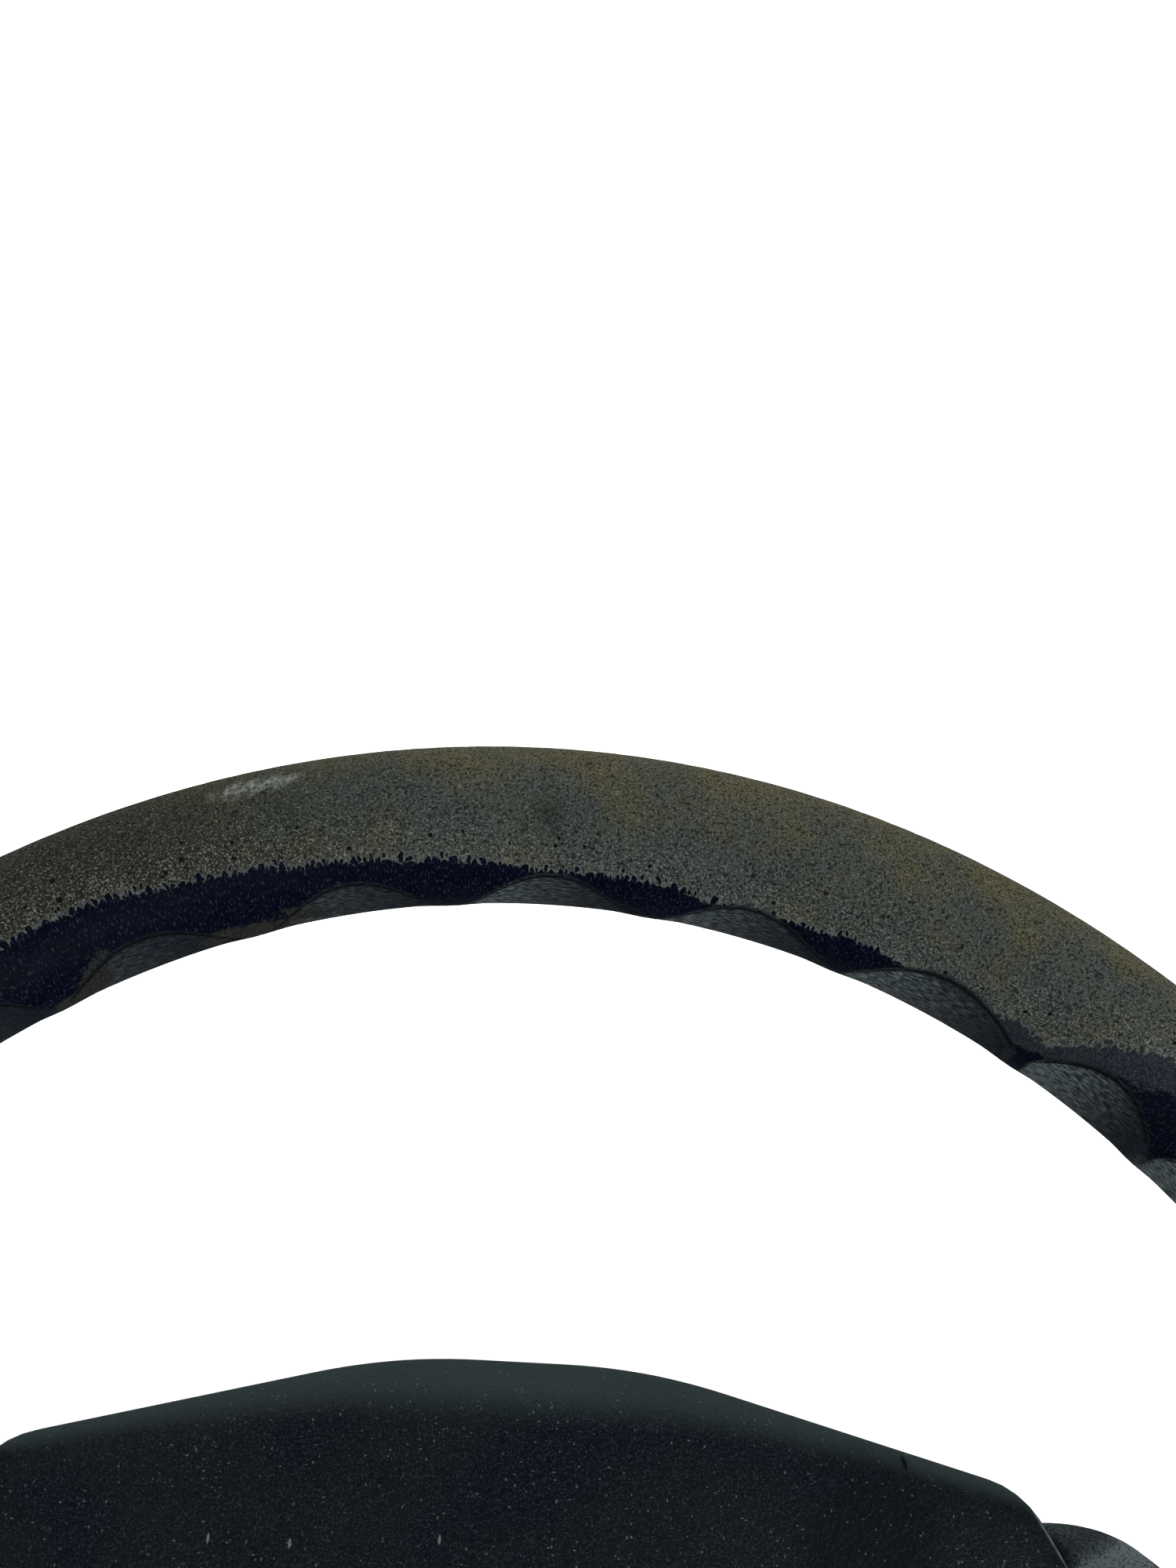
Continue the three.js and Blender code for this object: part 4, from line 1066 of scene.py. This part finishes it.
def make_boss():
    low, high = box_mm("hub_boss")
    flange_low, flange_high = plate_low[2] - CLEARANCE - 4, plate_low[2] - CLEARANCE
    seat = box_mm("hub_washer")[0][2] - CLEARANCE
    bottom, top, rim = low[2], high[2], high[0]
    bore, outer, well = BOSS_BORE_RADIUS, BOSS_RADIUS, NUT_WELL_RADIUS
    profile = [
        (bore, bottom + 0.8), (bore + 1.6, bottom), (outer - 1, bottom), (outer, bottom + 1),
        (outer, flange_low - 1), (outer + 0.3, flange_low - 0.3), (outer + 1, flange_low),
        (rim - 0.5, flange_low), (rim, flange_low + 0.5), (rim, flange_high - 0.5), (rim - 0.5, flange_high),
        (outer, flange_high), (outer, top - 0.8), (outer - 0.8, top),
        (well + 0.6, top), (well, top - 0.6), (well, seat + 0.4), (well - 0.4, seat),
        (bore + 1.4, seat), (bore, seat - 0.8),
    ]
    segments = SPLINE_TEETH * 12
    points, faces = lathe(profile, segments)
    points = np.array(points)
    radius = np.hypot(points[:, 0], points[:, 1])
    turns = np.arctan2(points[:, 1], points[:, 0]) / (2 * math.pi) * SPLINE_TEETH
    on_bore = np.abs(radius - bore) < 0.01
    grown = np.where(on_bore, 1 + SPLINE_DEPTH * trapezoid_wave(turns) / bore, 1)
    points[:, :2] *= grown[:, None]
    mesh_piece("boss", points, faces, "wheel", "zinc_steel", "hub_boss")


def make_washer():
    low, high = box_mm("hub_washer")
    profile = [(7.3, low[2]), (high[0], low[2]), (high[0], high[2]), (7.3, high[2])]
    turned_piece("washer", profile, (0, 0), "wheel", "zinc_steel", "hub_washer", 72)


def make_nut():
    """A hexagon nut: the corners are turned off at both ends, and the bore is threaded."""
    low, high = box_mm("hub_nut")
    bottom, top, corner = low[2], high[2], high[0]
    flats = corner * math.cos(math.pi / 6)
    pitch, thread_depth, bore = 1.5, 0.6, 7.0
    segments = 144
    angle = np.arange(segments) * 2 * math.pi / segments
    hexagon = flats / np.cos((angle + math.pi / 6) % (math.pi / 3) - math.pi / 6)
    cuts = np.linspace(0, 1, 6) * (corner - flats + 0.3)
    bottom_up = [(flats - 0.3 + cut, bottom + cut * 0.58) for cut in cuts]
    top_down = [(limit, bottom + top - z) for limit, z in bottom_up[::-1]]
    rings = [(np.minimum(hexagon, limit), z) for limit, z in bottom_up + top_down]
    rings.append((bore + 1, top))
    for i, turns in enumerate(np.arange(0, (top - bottom - 2) / pitch, 0.5)):
        rings.append((bore + thread_depth * (i % 2), top - 1 - turns * pitch))
    rings.append((bore + 1, bottom))
    mesh_piece("nut", *turned_ring(rings, segments), "wheel", "zinc_steel", "hub_nut", sharp=25)


def make_carrier():
    """The nylon carrier: a flange with two cam lobes, and a sleeve up to the boss."""
    low, high = box_mm("cancel_cam_carrier")
    bottom, top, lobe = low[2], high[2], high[0]
    inner, sleeve, flange, flange_top = BOSS_RADIUS + CLEARANCE, 24.5, 37, bottom + 5
    segments = 288
    angle = np.arange(segments) * 2 * math.pi / segments
    from_lobe = np.degrees(np.minimum(angle % math.pi, math.pi - angle % math.pi))
    edge = flange + (lobe - flange) * (1 - smoothstep(14, 20, from_lobe))
    rings = [
        (inner, bottom + 0.4), (inner + 0.4, bottom), (edge - 0.5, bottom), (edge, bottom + 0.5),
        (edge, flange_top - 0.5), (edge - 0.5, flange_top), (sleeve + 1.5, flange_top),
        (sleeve + 0.4, flange_top + 0.4), (sleeve, flange_top + 1.5),
        (sleeve, top - 0.4), (sleeve - 0.4, top), (inner + 0.4, top), (inner, top - 0.4),
    ]
    mesh_piece("cam_carrier", *turned_ring(rings, segments), "wheel", "nylon", "cancel_cam_carrier")


def make_slip_ring():
    """A brass track with the two grooves that the column's brushes have worn."""
    low, high = box_mm("horn_slip_ring")
    inner, outer = 28, high[0]
    grooves = ((29.3, 0), (29.8, 0.15), (31, 0.15), (31.5, 0), (32.1, 0), (32.5, 0.12), (33.5, 0.12), (34, 0))
    track = [(radius, low[2] + depth) for radius, depth in grooves]
    profile = [(inner, low[2]), *track, (outer, low[2]), (outer, high[2]), (inner, high[2])]
    turned_piece("slip_ring", profile, (0, 0), "wheel", "brass", "horn_slip_ring", 160, 0.15)


def make_plates():
    screw_places = [centre(node)[:2] for node in HORN_SCREW_NODES]
    screw_holes = [circle(2.3, 24, x, y) for x, y in screw_places]
    bush_holes = [circle(BUSH_RADIUS + 0.15, 32, x, y) for x, y in screw_places]
    outline = rounded_rectangle(plate_high[0], plate_high[1], 12, 12)
    plate_piece("armature_plate", outline, [circle(BOSS_RADIUS + 0.2, 96), *bush_holes],
                plate_low[2], plate_high[2], "wheel", "black_steel", "hub_plate", 0.35)
    low, high = box_mm("horn_contact_plate")
    outline = rounded_rectangle(high[0], high[1], 12, 12)
    plate_piece("contact_plate", outline, [circle(24, 96), *screw_holes],
                low[2], high[2], "horn_pad", "zinc_steel", "horn_contact_plate", 0.2)
    plate_piece("backing_plate", outline_at(-PAD_WALL - 0.6, 160), screw_holes,
                backing_low[2], backing_high[2], "horn_pad", "black_steel", "pad_backing_plate", 0.3)


def threaded(radius, depth, pitch, bottom, top):
    """The zigzag of a screw thread's outline between two heights."""
    count = int((top - bottom) / pitch * 2)
    return [(radius - depth * (i % 2), bottom + (top - bottom) * i / count) for i in range(count + 1)]


def cross_recess(x, y, half_length, half_width, bottom, top):
    """A tapered cross, as a tool to cut with."""
    arm = [(half_length, half_width), (half_width, half_width), (half_width, half_length)]
    cross = []
    for turn in np.arange(4) * math.pi / 2:
        along, aside = math.cos(turn), math.sin(turn)
        cross += [(x + u * along - v * aside, y + u * aside + v * along) for u, v in arm]
    return add_solid("tool", *prism(cross, bottom, top, 0.55))


def make_screw(name, node, body, profile, recess):
    """A turned screw with a cross recess: its half length, half width and depth."""
    x, y, _ = centre(node)
    screw = turned_piece(name, profile, (x, y), body, "zinc_steel", node, 40, 0)
    half_length, half_width, depth = recess
    head_bottom = profile[0][1]
    tool = cross_recess(x, y, half_length, half_width, head_bottom - 0.01, head_bottom + depth)
    boolean(screw, [tool])
    bevel_edges(screw, 0.12)


def make_fixings():
    """Each corner of the pad: a shoulder screw through a bush, with a spring round it."""
    for i, node in enumerate(HORN_SCREW_NODES, 1):
        x, y, _ = centre(node)
        low, high = box_mm(node)
        bottom, top = low[2], high[2]
        head_top, shoulder_top = bottom + 2.8, box_mm(f"pad_spring_{i}")[1][2]
        profile = [
            (0, bottom), (4.6, bottom), (5.3, bottom + 0.35), (5.6, bottom + 1), (5.6, head_top - 0.2),
            (5.4, head_top), (3, head_top), (3, shoulder_top - 0.2), (2.8, shoulder_top), (2, shoulder_top),
            *threaded(2.0, 0.25, 0.7, shoulder_top + 0.2, top - 0.3), (1.4, top), (0, top),
        ]
        make_screw(f"shoulder_screw_{i}", node, "horn_pad", profile, (2.6, 0.55, 1.5))
        low, high = box_mm(f"pad_bush_{i}")
        bottom, top, flange_bottom = low[2], high[2], plate_high[2] + CLEARANCE
        profile = [
            (BUSH_BORE, bottom), (BUSH_RADIUS - 0.3, bottom), (BUSH_RADIUS, bottom + 0.4),
            (BUSH_RADIUS, flange_bottom), (BUSH_FLANGE, flange_bottom), (BUSH_FLANGE, top),
            (BUSH_BORE + 0.4, top), (BUSH_BORE, top - 0.4),
        ]
        turned_piece(f"bush_{i}", profile, (x, y), "wheel", "nylon", f"pad_bush_{i}", 48, 0.15)
        make_spring(i, x, y)


SPRING_RADIUS, SPRING_WIRE_RADIUS = 5.4, 0.6


def make_spring(i, x, y):
    """A compression spring: open coils between closed, ground ends."""
    low, high = box_mm(f"pad_spring_{i}")
    bottom, top = low[2] + SPRING_WIRE_RADIUS, high[2] - SPRING_WIRE_RADIUS
    closed_turns, open_turns, steps = 0.9, 3.4, 36
    turns = np.arange(int((2 * closed_turns + open_turns) * steps) + 1) / steps
    rise = SPRING_WIRE_RADIUS * 2.05
    open_share = np.clip((turns - closed_turns) / open_turns, 0, 1)
    open_share = open_share - np.sin(2 * math.pi * open_share) / (2 * math.pi) * 0.25
    last_turns = turns - closed_turns - open_turns
    ends = np.clip(turns / closed_turns, 0, 1) + np.clip(last_turns / closed_turns, 0, 1)
    z = bottom + rise * ends * 0.9 + open_share * (top - bottom - 1.8 * rise)
    angle = 2 * math.pi * turns
    out = np.stack([np.cos(angle), np.sin(angle), np.zeros_like(angle)], -1)
    path = out * SPRING_RADIUS + np.stack([np.full_like(z, x), np.full_like(z, y), z], -1)
    sides = 12
    section = np.arange(sides) * 2 * math.pi / sides
    cos, sin = np.cos(section)[None, :, None], np.sin(section)[None, :, None]
    ring = out[:, None] * cos + np.array([0, 0, 1]) * sin
    points = (path[:, None] + ring * SPRING_WIRE_RADIUS).reshape(-1, 3)
    faces = [list(f) for f in grid_faces(len(path), sides)]
    faces += [list(range(sides)), list(range(len(points) - sides, len(points)))]
    piece = mesh_piece(f"spring_{i}", points, faces, "wheel", "spring_steel", f"pad_spring_{i}")
    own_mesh(piece)


def make_contacts():
    """The horn switch: a domed contact on an insulated stud below, and a flat one on the plate above."""
    for i, collar_height in ((1, 1.1), (2, 0.3)):
        at = centre(f"fixed_contact_{i}")[:2]
        low, high = box_mm(f"fixed_contact_{i}")
        bottom, top, collar = low[2], high[2], low[2] + collar_height
        stud = [(0, bottom), (2, bottom), (2, collar), (3, collar), (3, top - 0.7), (2.6, top - 0.25),
                (1.5, top - 0.04), (0, top)]
        turned_piece(f"contact_stud_{i}", stud, at, "wheel", "brass", f"fixed_contact_{i}", 32, 0.1)
        low, high = box_mm(f"moving_contact_{i}")
        bottom, top = low[2], high[2]
        button = [(0, bottom), (1.8, bottom + 0.02), (2.7, bottom + 0.2), (3, bottom + 0.45), (3, top),
                  (0, top)]
        turned_piece(f"contact_button_{i}", button, at, "horn_pad", "brass", f"moving_contact_{i}", 32, 0)
        low, high = box_mm(f"contact_insulator_{i}")
        disc = [(0, low[2]), (6.5, low[2]), (6.5, high[2] - 0.4), (5.9, high[2]), (0, high[2])]
        turned_piece(f"insulator_{i}", disc, at, "wheel", "nylon", f"contact_insulator_{i}", 40, 0.15)


def make_terminal():
    """A push-on blade for the horn lead: an eye, a waisted neck, and a tab with its lock hole."""
    low, high = box_mm("horn_terminal")
    y = (low[1] + high[1]) / 2
    eye, tab = 5, 3.15
    neck = math.asin(tab / eye)
    arc = [(eye * math.cos(a), y + eye * math.sin(a)) for a in np.linspace(neck, 2 * math.pi - neck, 36)]
    tip = high[0]
    outline = [*arc, (tip - 1, y - tab), (tip, y - tab + 0.8), (tip, y + tab - 0.8), (tip - 1, y + tab)]
    holes = [circle(2.2, 24, 0, y), circle(0.8, 20, tip - 4, y)]
    plate_piece("lead_tab", outline, holes, low[2], high[2], "wheel", "brass", "horn_terminal", 0.12)


# ---- rear shroud ----
def blended_ring(radius, distance, share, z, count=192):
    """A ring between a circle (share 0) and the pad's outline moved by `distance` (share 1)."""
    outline = outline_at(distance, count)
    mixed = outline * share + outline / np.linalg.norm(outline, axis=1)[:, None] * radius * (1 - share)
    return np.column_stack([mixed, np.full(count, z)])


def smooth_rows(table, steps):
    """A smooth curve through the rows of a table, with `steps` rows for each of its spans."""
    rows = np.array(table, float)
    ends = np.vstack([2 * rows[0] - rows[1], rows, 2 * rows[-1] - rows[-2]])
    found = []
    for a, b, c, d in zip(ends, ends[1:], ends[2:], ends[3:]):
        for t in np.arange(steps) / steps:
            bend, twist = 2 * a - 5 * b + 4 * c - d, 3 * b - a - 3 * c + d
            found.append(0.5 * (2 * b + (c - a) * t + bend * t**2 + twist * t**3))
    return [*found, rows[-1]]


def make_shroud():
    """The moulded cover behind the hub: a round mouth for the column that opens out to a screw flange."""
    flange_top = SHROUD_TOP
    flange_bottom = flange_top - SHROUD_WALL
    edge, wall = SHROUD_EDGE_RADIUS, SHROUD_WALL
    lip, neck = -9, -24

    # Rows for blended_ring, up the outside and down the inside.
    outer = [
        (edge, neck, 0, 0.5),
        (edge + 1, neck, 0, 10),
        (edge + 4, neck, 0.45, 22),
        (edge + 2, neck, 0.97, flange_bottom - 1),
    ]
    flange = [
        (edge, neck + 0.4, 1, flange_bottom - 0.25),
        (edge, neck + 1.2, 1, flange_bottom),
        (edge, lip - 0.4, 1, flange_bottom),
        (edge, lip, 1, flange_bottom + 0.4),
        (edge, lip, 1, flange_top - 0.4),
        (edge, lip - 0.4, 1, flange_top),
    ]
    inner = [
        (edge + 2 - wall, neck - wall, 1, flange_top),
        (edge + 4 - wall, neck - wall, 0.45, 23.5),
        (edge + 1 - wall, neck, 0, 11),
        (edge - wall, neck, 0, 0.5),
    ]
    rows = [(edge - 0.5, neck, 0, 0), *smooth_rows(outer, 10), *flange, *smooth_rows(inner, 10),
            (edge - wall + 0.5, neck, 0, 0)]
    rings = [blended_ring(*row) for row in rows]
    faces = grid_faces(len(rings), len(rings[0]), wrap_rows=True)
    piece = mesh_piece("shroud", np.concatenate(rings), faces, "wheel", "black_plastic", "rear_shroud")
    tools = []
    for node in SHROUD_SCREW_NODES:
        x, y, _ = centre(node)
        hole = circle(SHROUD_SCREW_RADIUS + 0.2, 24, x, y)
        tools.append(add_solid("tool", *prism(hole, flange_bottom - 2, flange_top + 2)))
    boolean(piece, tools)


def make_shroud_screws():
    for i, node in enumerate(SHROUD_SCREW_NODES, 1):
        low, high = box_mm(node)
        bottom, top, head_top = low[2], high[2], low[2] + 2.6
        profile = [
            (0, bottom), (2.4, bottom), (3.3, bottom + 0.35), (3.9, bottom + 1), (4.2, bottom + 1.8),
            (4.2, head_top), (2, head_top), (2, head_top + 1.2),
            *threaded(2.0, 0.35, 1.1, head_top + 1.4, top - 1.2), (1, top - 0.3), (0, top),
        ]
        make_screw(f"cover_screw_{i}", node, "wheel", profile, (2.2, 0.45, 1.3))


make_moulding()
make_pad()
make_armature()
make_boss()
make_washer()
make_nut()
make_carrier()
make_slip_ring()
make_plates()
make_fixings()
make_contacts()
make_terminal()
make_shroud()
make_shroud_screws()


# ---- camera, at the photograph's angle: just above the pad's top edge, looking down past it at the rim ----
CAMERA_FROM = Vector((-3.0, 77.3, RIM_Z + 265.3)) * MM
CAMERA_AT = Vector((5.76, 184.3, RIM_Z)) * MM
CAMERA_ROLL = 0.053
CAMERA_LENS = 34.2

camera_data = bpy.data.cameras.new("camera")
camera_data.lens = CAMERA_LENS
camera_data.sensor_width = 36
camera = add_object("camera", camera_data)
ahead = (CAMERA_AT - CAMERA_FROM).normalized()
level = ahead.cross(Vector((0, 1, 0))).normalized()
upright = level.cross(ahead)
right = level * math.cos(CAMERA_ROLL) + upright * math.sin(CAMERA_ROLL)
up = upright * math.cos(CAMERA_ROLL) - level * math.sin(CAMERA_ROLL)
camera.matrix_world = Matrix.Translation(CAMERA_FROM) @ Matrix((right, up, -ahead)).transposed().to_4x4()
camera_data.clip_start = 0.01
bpy.context.scene.camera = camera


# ---- floor and light ----
LIGHTS_AT = Vector((0, 0.1, 0))


def floor_material():
    s = Shader("pale_floor")
    colour = s.mix(s.noise(120.0, 2.0), (0.86, 0.86, 0.86), (0.9, 0.9, 0.9))
    glow = {"Emission Color": (1, 1, 1, 1), "Emission Strength": 0.85}
    return s.finish(colour, 0.9, None, {"Specular IOR Level": 0.1, **glow})


def make_floor():
    half = 4000
    square = [(-half, -half), (half, -half), (half, half), (-half, half)]
    floor = add_solid("floor", *prism(square, -5, -0.05))
    floor.data.materials.append(floor_material())
    floor.visible_glossy = False


def area_light(name, place, size, power):
    """A square light aimed at the middle of the upper rim."""
    data = bpy.data.lights.new(name, "AREA")
    data.size = size
    data.energy = power
    light = add_object(name, data)
    light.location = place
    light.rotation_euler = (LIGHTS_AT - Vector(place)).to_track_quat("-Z", "Y").to_euler()


make_floor()
area_light("window", (1.3, -0.7, 0.9), 1.0, 40)
area_light("windscreen", (-0.2, 1.5, 0.75), 1.2, 28)
area_light("left_fill", (-1.4, -0.6, 0.9), 1.2, 18)

world = bpy.data.worlds.new("studio")
world.use_nodes = True
world.node_tree.nodes["Background"].inputs["Color"].default_value = (0.93, 0.96, 1.0, 1)
world.node_tree.nodes["Background"].inputs["Strength"].default_value = 0.1
bpy.context.scene.world = world
bpy.context.scene.view_settings.view_transform = "Standard"
